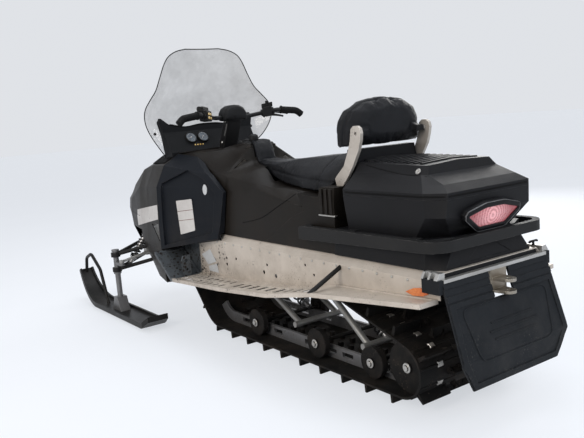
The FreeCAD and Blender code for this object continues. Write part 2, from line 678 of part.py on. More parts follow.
def front_shock():
    """Left ski damper from the lower arm to the frame."""
    foot = (SHOCK_FOOT[0], SHOCK_FOOT[1], arm_leg_point(LOWER_RING_Z, ARM_PIVOTS[3], SHOCK_FOOT[1])[2])
    body = shock(foot, (SHOCK_TOP[0], FRAME_HALF, SHOCK_TOP[1]), 11.0, 26.0)
    body = body.cut(block(0, HALF_LENGTH, 0, FRAME_HALF + 24, 0, HALF_LENGTH))
    return body.cut(shock_bar(SEAT_GAP))


def spindle():
    """Left spindle: post, steering arm and the foot that straddles the ski."""
    post = rod((SPINDLE_X, SKI_Y, 96.0), (SPINDLE_X, SKI_Y, SPINDLE_TOP), SPINDLE_R)
    cap = rod((SPINDLE_X, SKI_Y, UPPER_RING_Z + RING_HEIGHT + CAP_LIFT), (SPINDLE_X, SKI_Y, SPINDLE_TOP), SPINDLE_R + 6)
    collar = rod((SPINDLE_X, SKI_Y, LOWER_RING_Z - 12), (SPINDLE_X, SKI_Y, LOWER_RING_Z - 1), SPINDLE_R + 6)
    top = SKI_FLAT + SKI_THICK
    foot = along_y([(SPINDLE_X - 60, top), (SPINDLE_X + 60, top), (SPINDLE_X + 26, 112.0),
                    (SPINDLE_X - 26, 112.0)], SKI_Y - 30, SKI_Y + 30)
    arm = block(SPINDLE_X - STEER_ARM, SPINDLE_X, SKI_Y - 13, SKI_Y + 13, STEER_ARM_Z,
                STEER_ARM_Z + STEER_ARM_THICK)
    eye = Part.makeCylinder(15.0, STEER_ARM_THICK, V(SPINDLE_X - STEER_ARM, SKI_Y, STEER_ARM_Z))
    return post.fuse([cap, collar, foot, arm, eye]).removeSplitter()


def tie_rod():
    """Left tie rod from the steering arm into the frame."""
    outer = (SPINDLE_X - STEER_ARM, SKI_Y, TIE_OUTER_Z)
    eye = Part.makeCylinder(14.0, 2 * TIE_R, V(outer[0], outer[1], outer[2] - TIE_R))
    return rod(TIE_INNER, outer, TIE_R).fuse(eye)


def ski_rise(x, depth):
    """Height of the curled ski front at a depth in its sheet."""
    return SKI_FLAT + SKI_CURL - math.sqrt((SKI_CURL - depth) ** 2 - (x - SKI_BEND_X) ** 2)


def ski_sheet(low, high, y0, y1):
    """Ski's side outline between two depths, flat underfoot and curled up in front."""
    centre = V(SKI_BEND_X, y0, SKI_FLAT + SKI_CURL)
    sweep = math.radians(SKI_TURN)

    def at(radius, angle):
        return centre + V(radius * math.sin(angle), 0, -radius * math.cos(angle))

    heel = ((SKI_REAR_X, SKI_FLAT + 44), (SKI_REAR_X + 75, SKI_FLAT))
    outer = SKI_CURL - low
    inner = SKI_CURL - high
    top = [at(inner, 0), V(heel[1][0], y0, heel[1][1] + high), V(heel[0][0], y0, heel[0][1] + high)]
    bottom = [V(heel[0][0], y0, heel[0][1] + low), V(heel[1][0], y0, heel[1][1] + low), at(outer, 0)]
    edges = [Part.LineSegment(a, b).toShape() for a, b in zip(top + bottom, (top + bottom)[1:])]
    edges.append(Part.Arc(at(outer, 0), at(outer, sweep / 2), at(outer, sweep)).toShape())
    edges.append(Part.LineSegment(at(outer, sweep), at(inner, sweep)).toShape())
    edges.append(Part.Arc(at(inner, sweep), at(inner, sweep / 2), at(inner, 0)).toShape())
    return Part.Face(Part.Wire(Part.sortEdges(edges)[0])).extrude(V(0, y1 - y0, 0))


def ski():
    """Left plastic ski with edge ribs, a middle keel with its wear bar, and the pull loop."""
    half = SKI_WIDTH / 2
    plan = [(SKI_REAR_X, SKI_Y - half + 12), (SKI_REAR_X + 60, SKI_Y - half), (SKI_BEND_X, SKI_Y - half),
            (HALF_LENGTH, SKI_Y - 42), (HALF_LENGTH, SKI_Y + 42), (SKI_BEND_X, SKI_Y + half),
            (SKI_REAR_X + 60, SKI_Y + half), (SKI_REAR_X, SKI_Y + half - 12)]
    sole = ski_sheet(0, SKI_THICK, SKI_Y - half, SKI_Y + half).common(along_z(plan, 0, TUNNEL_TOP))
    ribs = ski_sheet(0, SKI_THICK + 14, SKI_Y - half, SKI_Y + half)
    ribs = ribs.common(along_z(plan, 0, TUNNEL_TOP).cut(along_z(inset(plan, 12), 0, TUNNEL_TOP)))
    keel = block(SKI_REAR_X + 120, SKI_BEND_X, SKI_Y - 11, SKI_Y + 11, 0, SKI_FLAT + 2)
    tip = HALF_LENGTH - 21
    loop = pipe([(SKI_BEND_X - 50, SKI_Y, SKI_FLAT + 8), (SKI_BEND_X + 35, SKI_Y, SKI_LOOP_TOP - 85),
                 (SKI_BEND_X + 170, SKI_Y, SKI_LOOP_TOP), (tip - 29, SKI_Y, SKI_LOOP_TOP - 35),
                 (tip, SKI_Y, ski_rise(tip, SKI_THICK - 4))], 10.0, 45.0)
    return sole.fuse([ribs, keel, loop]).removeSplitter()


def engine():
    """Engine and clutch as one plain mass between the tunnel and the front frame."""
    return block(TUNNEL_FRONT, FRAME_X[0], -190, 190, 305, 590)


def side_panel():
    """Left leg shield: a hollow wedge with a raised rim round its sunk middle, and the fender's top over it."""
    rear = SHIELD_LINE[1][0]
    table = ((FIRE_X, ((262, 888), (240, 926), (240, 943), (332, 888), (388, 780), (396, BELT_LINE), (397, 446),
                       (280, 446), (280, 551), (262, 556))),
             (rear, ((258, 838), (228, 872), (228, 905), (272, 836), (274, 776), (276, BELT_LINE), (284, 539),
                     (280, 529), (280, 551), (258, 556))))
    outer = loft_x([(x, [(float(y), float(z)) for y, z in outline]) for x, outline in table])
    inner = loft_x([(x, inset([(float(y), float(z)) for y, z in outline], PANEL)) for x, outline in table])
    edge = [(FIRE_X, 430.0)] + list(SHIELD_LINE) + [(FIRE_X, 960.0)]
    outer = outer.common(along_y(edge, 0, BOARD_HALF))
    inner = inner.common(along_y(inset(edge, PANEL), 0, BOARD_HALF))
    sunk = V(0, -SHIELD_DEPTH, 0)
    pocket = along_y(list(SHIELD_POCKET), 270, BOARD_HALF)
    behind = along_y(inset(list(SHIELD_POCKET), -PANEL), 240, BOARD_HALF)
    outer = outer.cut(pocket.cut(outer.translated(sunk)))
    return outer.cut(inner.cut(behind.cut(inner.translated(sunk))))


def crossed_form(side, front):
    """Solid where a side outline and a front outline cross."""
    reach = max(abs(y) for y, z in front)
    xs = [x for x, z in side]
    return along_y(side, -reach, reach).common(along_x(front, min(xs), max(xs)))


def beyond_knee(depth):
    """All that lies outside the left knee facet, the facet moved inwards by a depth."""
    x0, y0, z0 = KNEE
    forwards, inwards = KNEE_RISE
    sink = depth * math.hypot(1.0, math.hypot(forwards, inwards))
    sections = []
    for x in (SIDE_SEAM[0][0] - 10, FIRE_X):
        rise = [(y, z0 + forwards * (x - x0) - inwards * (y - y0) - sink) for y in (40.0, 300.0)]
        sections.append((x, rise + [(300.0, 1300.0), (40.0, 1300.0)]))
    return loft_x(sections)


def crossed(side, front, wall, knees):
    """Hollow moulding from its side and front outlines, open underneath, with or without its knee facets."""
    reach = max(abs(y) for y, z in front)
    xs = [x for x, z in side]
    floor = min(z for x, z in side)
    outer = crossed_form(side, front)
    inner = crossed_form(inset(side, wall), inset(front, wall))
    if knees:
        outer = outer.cut(both(beyond_knee(0)))
        inner = inner.cut(both(beyond_knee(wall)))
    foot = inner.common(block(min(xs), max(xs), -reach, reach, floor, floor + wall + 1))
    low = Part.makeCompound([inner, foot.translated(V(0, 0, -wall - 0.5))])
    return outer.cut(low)


CONSOLE_FRONT = [(CONSOLE_HALF, TUNNEL_TOP), (250.0, 745.0), (246.0, 850.0), (215.0, 940.0), (110.0, 950.0),
                 (72.0, 976.0)]


def console():
    """Tank and dash moulding between the rider's knees, with the steering column's collar."""
    side = [(FIRE_X - 2, TUNNEL_TOP), (FIRE_X - 2, 950.0), (300.0, 936.0), (240.0, 934.0), (170.0, 962.0),
            (25.0, 990.0)]
    side += list(SEAM) + list(SIDE_SEAM)
    front = [(y, z) for y, z in CONSOLE_FRONT] + [(-y, z) for y, z in reversed(CONSOLE_FRONT)]
    shell = crossed(side, front, PANEL, True)
    return shell.cut([rod(COLUMN_FOOT, COLUMN_TOP, COLUMN_R + PIN_CLEARANCE), seat_form(0)])


def seat_base_outlines():
    """Side and front outlines of the seat base."""
    shared = list(reversed(SIDE_SEAM)) + [SEAM[-1]]
    side = [(x - SEAT_GAP, z) for x, z in shared] + list(SEAT_EDGE) + [(SEAT_REAR, TUNNEL_TOP)]
    return side, symmetric([(244.0, SEAT_DECK), (250.0, 745.0), (CONSOLE_HALF, TUNNEL_TOP)])


def seat_base():
    """Side mouldings and deck under the seat, with upright ribs behind the seat's side."""
    side, outline = seat_base_outlines()
    shell = crossed(side, outline, PANEL, False)
    ribs = []
    for x in (-816.0, -846.0, -876.0):
        ribs.append(block(x - 7, x + 7, 245.0, 256.0, 702.0, SEAT_DECK - 6))
    return shell.fuse(ribs + [flipped(rib) for rib in ribs])


def seat_form(shrink):
    """Cushion's solid from its side, front and plan outlines, each moved inwards."""
    top = [(SEAT_REAR, 920.0), (-872.0, 931.0), (-800.0, 927.0), (-730.0, 916.0), (-620.0, 908.0), (-500.0, 903.0),
           (-400.0, 892.0), (-300.0, 885.0), (-160.0, 884.0), (-66.0, 894.0), (-52.0, 968.0), (-34.0, 1000.0),
           (28.0, 1008.0)]
    side = list(SEAT_FOOT) + list(SEAM[3:]) + list(SEAT_EDGE) + top
    front = symmetric([(54.0, 1010.0), (64.0, 932.0), (110.0, 906.0), (150.0, 872.0), (180.0, 836.0), (202.0, 795.0),
                       (206.0, 740.0)])
    plan = [(30.0, -56.0), (-60.0, -62.0), (-200.0, -104.0), (-372.0, -150.0), (-600.0, -200.0), (-660.0, -206.0),
            (-770.0, -206.0), (-836.0, -168.0), (-900.0, -168.0)]
    plan += [(x, -y) for x, y in reversed(plan)]
    body = along_y(inset(side, shrink), -210, 210).common(along_x(inset(front, shrink), SEAT_REAR, 30.0))
    return body.common(along_z(inset(plan, shrink), 700, 1020))


def seat():
    """One-piece two-up cushion, with an upright nose let into the console and a raised rear place."""
    return seat_form(SEAT_GAP)


def backrest_support():
    """Moulded pillar behind the passenger."""
    outline = symmetric([(SUPPORT_HALF - 10, 949.0), (SUPPORT_HALF, 900.0), (SUPPORT_HALF, 780.0), (150.0, BASE_TOP)])
    return along_x(outline, SUPPORT_REAR, SEAT_REAR - SEAT_GAP)


def backrest():
    """Passenger's padded backrest, thick and wrapped forwards at its sides."""
    # x, then the left half as (y, z) from top centre down
    table = ((-868.0, ((0, 1148), (105, 1134), (168, 1102), (199, 1064), (210, 1020), (204, 962), (0, 956))),
             (-900.0, ((0, 1156), (118, 1142), (186, 1108), (214, 1067), (224, 1020), (217, 954), (0, 949.5))),
             (-940.0, ((0, 1154), (112, 1140), (172, 1104), (192, 1062), (196, 1020), (188, 968), (0, 952))),
             (-966.0, ((0, 1136), (88, 1122), (132, 1096), (154, 1056), (160, 1020), (152, 984), (0, 976))))
    pad = skin(table, 0, (0, 0))
    x, z = ARM_PIVOT
    lug = block(x - 12, x + 40, 120.0, ARM_INNER_Y - SEAT_GAP, z - 17, z + 17)
    room = along_y(inset(ARM_SIDE, -2), ARM_INNER_Y - SEAT_GAP, BOARD_HALF)
    return pad.fuse([lug, flipped(lug)]).cut([room, flipped(room)]).removeSplitter()


def backrest_arm():
    """Left cast arm that holds the backrest."""
    arm = along_y(ARM_SIDE, ARM_INNER_Y, ARM_INNER_Y + ARM_THICK)
    return arm.cut(cross_rod(ARM_PIVOT[0], ARM_PIVOT[1], 7.0, BOX_HALF))


def base_levels(wall):
    """Box base's outlines from above, at its foot and its top, moved inwards by a wall: z, (x, y) outline."""
    front = SEAT_REAR - SEAT_GAP
    levels = []
    # z, x where the corner begins, x at the rear, half width of the side, half width of the rear panel
    for z, corner, rear, half, panel in ((TUNNEL_TOP, BASE_REAR + 64, BASE_REAR, 262.0, 226.0),
                                         (BASE_TOP, BASE_REAR + 64, BASE_REAR + 15, 250.0, 158.0)):
        outline = [(front, -half), (corner, -half), (rear, -panel), (rear, panel), (corner, half), (front, half)]
        levels.append((z, inset(outline, wall)))
    return levels


def rear_base():
    """Moulded box base with bevelled corners and a sunk trapezoid in its rear panel."""
    outer = loft_z(base_levels(0))
    (z0, low), (z1, high) = base_levels(PANEL)
    shell = outer.cut(loft_z([(z0 - 1, low), (z1 - PANEL, high)]))
    recess = along_x([(-118.0, 556.0), (118.0, 556.0), (42.0, 604.0), (-42.0, 604.0)], BASE_REAR - 1, BASE_REAR + 40)
    return shell.cut(recess.cut(outer.translated(V(2.5, 0, 0))))


def box_plan(z, rear_gap, run, cut, half):
    """Outline of the cargo box or its lid at a height: gap to the rear, corner run and cut, half width."""
    front = BOX_FRONT - abs(z - BOX_RIM) * BOX_LEAN
    rear = BOX_REAR + rear_gap
    return [(front, -half), (rear + run, -half), (rear, -half + cut), (rear, half - cut), (rear + run, half),
            (front, half)]


# Cargo box from floor to rim: z, gap to the rear, corner run, corner cut, half width
BOX_LEVELS = ((BASE_TOP, 46.0, 86.0, 84.0, BOX_HALF - 10), (722.0, 7.0, 70.0, 24.0, BOX_HALF - 4),
              (BOX_RIM, 0.0, BOX_CORNER[0], BOX_CORNER[1], BOX_HALF))
# Lid above its lip, in the same columns, the last level above the cut of its top
LID_LEVELS = ((LID_LIP, 0.0, BOX_CORNER[0], BOX_CORNER[1], BOX_HALF), (830.0, 38.0, 66.0, 33.0, BOX_HALF - 27),
              (LID_SHOULDER, 114.0, 26.0, 9.0, BOX_HALF - 60), (LID_TOP_FRONT + 14, 143.0, 26.0, 9.0, BOX_HALF - 96))


def cargo_tub():
    """Solid form of the cargo box, its lower rear corners cut off."""
    return loft_z([(row[0], box_plan(*row)) for row in BOX_LEVELS])


def cargo_box():
    """Open tub of the cargo box."""
    walls = [(row[0], inset(box_plan(*row), BOX_WALL)) for row in BOX_LEVELS]
    walls[0] = (walls[0][0] + BOX_WALL, walls[0][1])
    walls[-1] = (walls[-1][0] + 1, walls[-1][1])
    return cargo_tub().cut(loft_z(walls))


def lid_roof(lift):
    """Wedge under the lid's top, crowned along its middle."""
    sections = []
    deck_rear = BOX_REAR + 130
    slope = (LID_TOP_FRONT - LID_TOP_REAR) / (BOX_FRONT - deck_rear)
    for x in (BOX_REAR - 10, BOX_FRONT + 10):
        top = LID_TOP_REAR + (x - deck_rear) * slope + lift
        sections.append((x, [(-BOX_HALF, 0.0), (-BOX_HALF, top - 4), (0.0, top + LID_CROWN), (BOX_HALF, top - 4),
                             (BOX_HALF, 0.0)]))
    return loft_x(sections)


def lid_form(shrink):
    """Lid's form: flanks up to a shoulder, a sloping apron behind and a raised crowned deck."""
    levels = [(row[0], inset(box_plan(*row), shrink)) for row in LID_LEVELS]
    return loft_z(levels).common(lid_roof(-shrink))


def lid_ribs():
    """Cross ribs on the lid's deck."""
    ribs = []
    for index in range(RIB_COUNT):
        x = BOX_FRONT - 40 - RIB_PITCH * index
        ribs.append(block(x - RIB_WIDTH, x, -BOX_HALF + 105, BOX_HALF - 105, LID_SHOULDER, LID_TOP_FRONT + 30))
    return [rib.common(lid_roof(RIB_RISE)) for rib in ribs]


def cargo_lid():
    """Hollow lid with ribs on its raised deck and its hinge knuckles."""
    low = BOX_RIM + SEAT_GAP
    rim = box_plan(*LID_LEVELS[0])
    shell = along_z(rim, low, LID_LIP).fuse([lid_form(0)] + lid_ribs()).removeSplitter()
    hollow = along_z(inset(rim, PANEL), low - 1, LID_LIP).fuse(lid_form(PANEL))
    shell = shell.cut(hollow)
    knuckles = []
    for side in (-1, 1):
        y0, y1 = sorted((side * 60.0, side * 125.0))
        knuckle = rod((HINGE_X, y0, HINGE_Z), (HINGE_X, y1, HINGE_Z), HINGE_R)
        leaf = block(BOX_FRONT - 24, HINGE_X, y0, y1, HINGE_Z - 2, HINGE_Z + 2)
        knuckles.append(knuckle.fuse(leaf))
    shell = shell.fuse(knuckles)
    return shell.cut(cross_rod(HINGE_X, HINGE_Z, PIN_R + PIN_CLEARANCE, BOX_HALF))


def lid_hinge():
    """Fixed half of the lid hinge with its pin."""
    pin = cross_rod(HINGE_X, HINGE_Z, PIN_R, 127.0)
    barrel = rod((HINGE_X, -58, HINGE_Z), (HINGE_X, 58, HINGE_Z), HINGE_R)
    leaf = block(HINGE_X, SUPPORT_REAR, -58, 58, HINGE_Z - 3, HINGE_Z + 3)
    pad = block(SUPPORT_REAR - 3, SUPPORT_REAR, -58, 58, HINGE_Z - 24, HINGE_Z + 8)
    return pin.fuse([barrel, leaf, pad])


def tail_light():
    """Many-sided lamp on the cargo box's rear wall, its lens leaning like the wall."""
    outline = symmetric([(0.0, 744.0), (50.0, 741.0), (141.0, 719.0), (72.0, 669.0)])
    lean = [(BOX_REAR - 13, 760.0), (BOX_REAR - 13, 735.0), (BOX_REAR + 6, 660.0), (BOX_REAR + 80, 660.0),
            (BOX_REAR + 80, 760.0)]
    return along_x(outline, BOX_REAR - 20, BOX_REAR + 60).common(along_y(lean, -150, 150)).cut(cargo_tub())


def rear_rack():
    """Moulded grab rail from beside the passenger right round the rear, closed to the base in front."""
    inner_half = RACK_HALF - RACK_THICK
    inner_rear = RACK_REAR + RACK_THICK
    corner = RACK_CORNER
    inner_corner = corner - RACK_THICK
    # half width, rear x, corner radius
    rings = ((RACK_HALF, RACK_REAR, corner), (inner_half, inner_rear, inner_corner))
    forms = []
    for half, rear, radius in rings:
        slant = radius * (1 - math.sqrt(0.5))
        edges = []
        for side in (-1, 1):
            start = V(rear + radius, side * half, 0)
            middle = V(rear + slant, side * (half - slant), 0)
            end = V(rear, side * (half - radius), 0)
            edges.append(Part.Arc(start, middle, end).toShape())
            edges.append(Part.LineSegment(start, V(RACK_FRONT, side * half, 0)).toShape())
        edges.append(Part.LineSegment(V(rear, half - radius, 0), V(rear, radius - half, 0)).toShape())
        edges.append(Part.LineSegment(V(RACK_FRONT, -half, 0), V(RACK_FRONT, half, 0)).toShape())
        forms.append(Part.Face(Part.Wire(Part.sortEdges(edges)[0])).extrude(V(0, 0, TUNNEL_TOP * 2)))
    band = forms[0].cut(forms[1])
    lugs = [block(RACK_FRONT - 45, RACK_FRONT, 240.0, RACK_HALF - 1, 400, 700)]
    lugs += [block(x - 18, x + 18, 240.0, RACK_HALF - 1, 400, 700) for x in (-1000.0, -1330.0)]
    side = [(RACK_FRONT, RACK_TOP - 8), (RACK_FRONT - 20, RACK_TOP), (RACK_REAR, RACK_TOP),
            (RACK_REAR, RACK_TOP - 38), (RACK_FRONT, RACK_TOP - 56)]
    band = band.fuse(lugs + [flipped(lug) for lug in lugs]).common(along_y(side, -RACK_HALF, RACK_HALF))
    base = loft_z(base_levels(0))
    return band.cut(crossed_form(*seat_base_outlines())).cut(base).cut(cargo_tub())


def end_frame():
    """Cross bar that closes the tunnel's end, with a windowed casting at each corner."""
    bar = block(TUNNEL_REAR - BAR_DEEP, TUNNEL_REAR, -TUNNEL_HALF, TUNNEL_HALF, BAR_LOW, BAR_HIGH)
    rear = TUNNEL_REAR - 12
    front = TUNNEL_REAR + 62
    inner, outer = CORNER_Y
    cap = along_x([(inner - 14, TUNNEL_TOP), (inner - 14, TUNNEL_TOP + 5), (outer - 12, TUNNEL_TOP + 5),
                   (outer, BAR_HIGH + 4), (outer, BAR_HIGH), (inner, BAR_HIGH), (inner, TUNNEL_TOP)], rear, front)
    end = block(rear, TUNNEL_REAR, inner - 14, inner, BAR_HIGH - 4, TUNNEL_TOP)
    windows = [block(x, x + 20, inner + 3, outer + 2, BAR_HIGH - 1, TUNNEL_TOP + 6) for x in (rear + 16, rear + 44)]
    cap = cap.fuse(end).cut(windows)
    return bar.fuse([cap, flipped(cap)])


def snow_flap():
    """Hanging flap with ridges, a framed lower field, cut lower corners and its corner blocks."""
    rear = TUNNEL_REAR - FLAP_REACH
    top = BAR_LOW - SEAT_GAP

    def sheet(out, thick):
        line = [(TUNNEL_REAR - 8 - out, top), (rear + FLAP_THICK - out, 255.0), (rear + FLAP_THICK + 8 - out, 150.0)]
        side = line + [(x - thick, z) for x, z in reversed(line)]
        return along_y(side, -300, 300)

    outline = symmetric([(279.0, top), (286.0, 249.0), (228.0, 150.0)])
    field = symmetric([(252.0, 430.0), (258.0, 262.0), (214.0, 176.0)])
    bands = [symmetric([(279.0, z + 9), (279.0, z - 9)]) for z in (top - 10, 462.0)]
    frame = along_x(inset(outline, 4), rear - 9, 0).cut(along_x(field, rear - 9, 0))
    frame = frame.cut(block(rear - 9, 0, -300, 300, 446, top + 1))
    ridges = [along_x(band, rear - 9, 0) for band in bands]
    raised = sheet(FLAP_THICK - 1, 5).common(frame.fuse(ridges))
    flap = sheet(0, FLAP_THICK).common(along_x(outline, rear - 9, 0)).fuse(raised)
    flap = flap.cut(block(rear - 9, 0, -52, 52, 425, top + 1))
    flap = flap.common(block(rear, 0, -300, 300, 0, TUNNEL_TOP))
    inner, outer = CORNER_Y
    corner = block(TUNNEL_REAR - 18, TUNNEL_REAR + 60, inner + SEAT_GAP, outer, 480.0, BAR_HIGH - SEAT_GAP)
    flap = flap.cut([corner, flipped(corner)])
    return Part.makeCompound([flap, corner, flipped(corner)])


def hitch():
    """Towing jaw under the cross bar, bored for its pin."""
    web = block(TUNNEL_REAR - BAR_DEEP, TUNNEL_REAR, -42, 42, 436, BAR_LOW)
    jaws = [along_z([(TUNNEL_REAR - 10, -34), (HITCH_X, -26), (HITCH_X, 26), (TUNNEL_REAR - 10, 34)], z, z + 10)
            for z in (436.0, 478.0)]
    noses = [Part.makeCylinder(26.0, 10.0, V(HITCH_X, 0, z)) for z in (436.0, 478.0)]
    return web.fuse(jaws + noses).cut(rod((HITCH_X, 0, 400), (HITCH_X, 0, 520), HITCH_PIN_R))


def side_reflector():
    """Left leaf-shaped reflector on the tunnel side."""
    front = TUNNEL_REAR + 158
    outline = [(front, 464.0), (front - 40, 482.0), (front - 72, 487.0), (TUNNEL_REAR + 64, 479.0),
               (TUNNEL_REAR + 50, 470.0), (TUNNEL_REAR + 74, 460.0), (front - 36, 455.0)]
    return along_y(outline, TUNNEL_HALF, TUNNEL_HALF + 5)


def windshield():
    """Tall screen with side lobes, bent round the dash."""
    # z, half width, x at the side edges, x at the middle
    table = ((915.0, 250.0, 552.0, 694.0), (985.0, 322.0, 492.0, 689.0), (1040.0, 366.0, 468.0, 682.0),
             (1095.0, 394.0, 458.0, 674.0), (1145.0, 401.0, 457.0, 660.0), (1190.0, 388.0, 462.0, 640.0),
             (1238.0, 350.0, 472.0, 613.0), (1285.0, 310.0, 480.0, 587.0), (1352.0, 277.0, 484.0, 556.0),
             (1420.0, 246.0, 482.0, 534.0), (1462.0, 214.0, 481.0, 520.0), (1488.0, 165.0, 486.0, 513.0),
             (1501.0, 104.0, 495.0, 509.0))

    def section(z, half, side_x, mid_x):
        outer = Part.Arc(V(side_x, -half, z), V(mid_x, 0, z), V(side_x, half, z)).toShape()
        inner = Part.Arc(V(side_x - PANEL, -half, z), V(mid_x - PANEL, 0, z), V(side_x - PANEL, half, z)).toShape()
        ends = [Part.LineSegment(V(side_x, y, z), V(side_x - PANEL, y, z)).toShape() for y in (-half, half)]
        return Part.Wire(Part.sortEdges([outer, ends[1], inner, ends[0]])[0])

    sheet = Part.makeLoft([section(*row) for row in table], True, True)
    seat_form = skin(HOOD, 0, (0, 0)).translated(V(0, 0, SEAT_GAP))
    return sheet.cut(seat_form)


# Cowl's face towards the rider, from its foot up: x, z
DASH_FACE = ((440.0, 950.0), (505.0, 1060.0), (516.0, 1140.0))


def dash():
    """Instrument cowl behind the screen, with a wing up to each edge of it."""
    outline = symmetric([(0.0, 1092.0), (50.0, 1088.0), (142.0, 1079.0), (234.0, 1099.0), (283.0, 1138.0),
                         (296.0, 1116.0), (277.0, 1047.0), (275.0, 968.0), (262.0, 880.0), (0.0, 880.0)])
    face = list(DASH_FACE)
    side = [(face[0][0], 850.0)] + face + [(542.0, 1140.0), (545.0, 1050.0), (534.0, 1000.0), (528.0, 968.0),
                                           (528.0, 850.0)]
    form = along_x(outline, 400, 560).common(along_y(side, -350, 350))
    return form.cut(skin(HOOD, 0, (0, 0)).translated(V(0, 0, SEAT_GAP)))


def gauges():
    """Two round instruments, square to the cowl's face and left of its middle."""
    foot, top = V(DASH_FACE[0][0], 0, DASH_FACE[0][1]), V(DASH_FACE[1][0], 0, DASH_FACE[1][1])
    middle = foot + (top - foot) * 0.64
    out = V(foot.z - top.z, 0, top.x - foot.x).normalize()
    discs = []
    for y in (55.0, 130.0):
        start = middle + V(0, y, 0) - out * 8
        discs.append(rod(tuple(start), tuple(start + out * 20), 33.0))
    return Part.makeCompound([disc.cut(dash()) for disc in discs])


def headlights():
    """Left and right lamps in the nose."""
    outline = [(40.0, 625.0), (172.0, 632.0), (160.0, 690.0), (48.0, 702.0)]
    return both(along_x(outline, 1250, 1262))


def front_bumper():
    """Tubular hoop in front of the nose."""
    return pipe([(1250.0, 118.0, 505.0), (1325.0, 118.0, 505.0), (1335.0, 118.0, 640.0), (1335.0, -118.0, 640.0),
                 (1325.0, -118.0, 505.0), (1250.0, -118.0, 505.0)], 14.0, 34.0)


def handlebar():
    """Steering column, riser and bent bar with drooping ends."""
    left = list(BAR_LINE)
    bar = pipe(left + [(x, -y, z) for x, y, z in reversed(left)], BAR_R, 40.0)
    column = rod(COLUMN_FOOT, COLUMN_TOP, COLUMN_R)
    clamp = block(206, 254, -34, 34, 1098, 1150)
    riser = along_y([(206.0, 1106.0), (256.0, 1106.0), (330.0, 966.0), (286.0, 946.0)], -40, 40)
    return bar.fuse([column, clamp, riser])


def bar_start():
    """Point of the left bar where the grip begins."""
    outer = V(*BAR_LINE[1])
    inner = V(*BAR_LINE[2])
    return outer + (inner - outer) * 0.83


def grips():
    """Rubber grips that follow the bar's drooping ends."""
    end = V(*BAR_LINE[0])
    over = end + (end - V(*BAR_LINE[1])).normalize() * 6
    start = bar_start()
    knee = BAR_LINE[1]
    sleeve = pipe([tuple(start), knee, tuple(over)], GRIP_R, 40.0)
    return both(sleeve.cut(pipe([tuple(start + (start - V(*knee))), knee, tuple(end)], BAR_R, 40.0)))


def bar_controls():
    """Switch block on the left, throttle block on the right, each with its lever."""
    pieces = []
    for side in (-1, 1):
        tube = rod((192.0, side * 168.0, 1125.7), (165.0, side * 211.0, 1133.0), BAR_R + 15)
        lever = pipe([(208.0, side * 178.0, 1133.0), (226.0, side * 206.0, 1133.0), (178.0, side * 330.0, 1113.0)],
                     5.0, 18.0)
        pieces.append(tube.fuse(lever))
    return Part.makeCompound(pieces).cut(handlebar())


def bar_pad():
    """Domed soft pad over the bar's middle."""
    dome = symmetric([(0.0, 1180.0), (30.0, 1176.0), (56.0, 1162.0), (71.0, 1140.0), (76.0, 1116.0), (69.0, 1096.0),
                      (0.0, 1092.0)])
    ends = inset(dome, 12.0)
    return loft_x([(184.0, ends), (200.0, dome), (258.0, dome), (274.0, ends)]).cut(handlebar())


PARTS = {
    "tunnel": tunnel,
    "footboard_left": footboard,
    "footboard_right": lambda: flipped(footboard()),
    "board_struts": lambda: both(board_strut()),
    "track": track,
    "rails": lambda: both(rail()),
    "idler_wheels": idler_wheels,
    "suspension_arms": suspension_arms,
    "rear_shocks": rear_shocks,
    "drive_axle": drive_axle,
    "hood": hood,
    "bellypan": bellypan,
    "front_frame": front_frame,
    "front_arms": front_arms,
    "front_shocks": lambda: both(front_shock()),
    "spindle_left": spindle,
    "spindle_right": lambda: flipped(spindle()),
    "ski_left": ski,
    "ski_right": lambda: flipped(ski()),
    "tie_rod_left": tie_rod,
    "tie_rod_right": lambda: flipped(tie_rod()),
    "engine": engine,
    "side_panel_left": side_panel,
    "side_panel_right": lambda: flipped(side_panel()),
    "console": console,
    "seat_base": seat_base,
    "seat": seat,
    "backrest_support": backrest_support,
    "backrest": backrest,
    "backrest_arms": lambda: both(backrest_arm()),
    "rear_base": rear_base,
    "cargo_box": cargo_box,
    "cargo_lid": cargo_lid,
    "lid_hinge": lid_hinge,
    "tail_light": tail_light,
    "rear_rack": rear_rack,
    "end_frame": end_frame,
    "snow_flap": snow_flap,
    "hitch": hitch,
    "side_reflectors": lambda: both(side_reflector()),
    "windshield": windshield,
    "dash": dash,
    "gauges": gauges,
    "headlights": headlights,
    "front_bumper": front_bumper,
    "handlebar": handlebar,
    "grips": grips,
    "bar_controls": bar_controls,
    "bar_pad": bar_pad,
}

os.makedirs("parts", exist_ok=True)
for node, make in PARTS.items():
    shape = make()
    shape.exportStep("parts/" + node + ".step")
    print(node, len(shape.Solids), round(shape.Volume / 1000.0), shape.isValid())
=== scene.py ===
"""Looks of a two-seat utility snowmobile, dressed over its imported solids.

Metres, in the solids' own frame: +X is the nose, +Y the left side, +Z up, and z = 0
is under the track and the skis.
"""
import json
import math

import bmesh
import bpy
import numpy as np
from bpy.props import FloatProperty, FloatVectorProperty, IntProperty, PointerProperty
from mathutils import Matrix, Vector
from mathutils.bvhtree import BVHTree


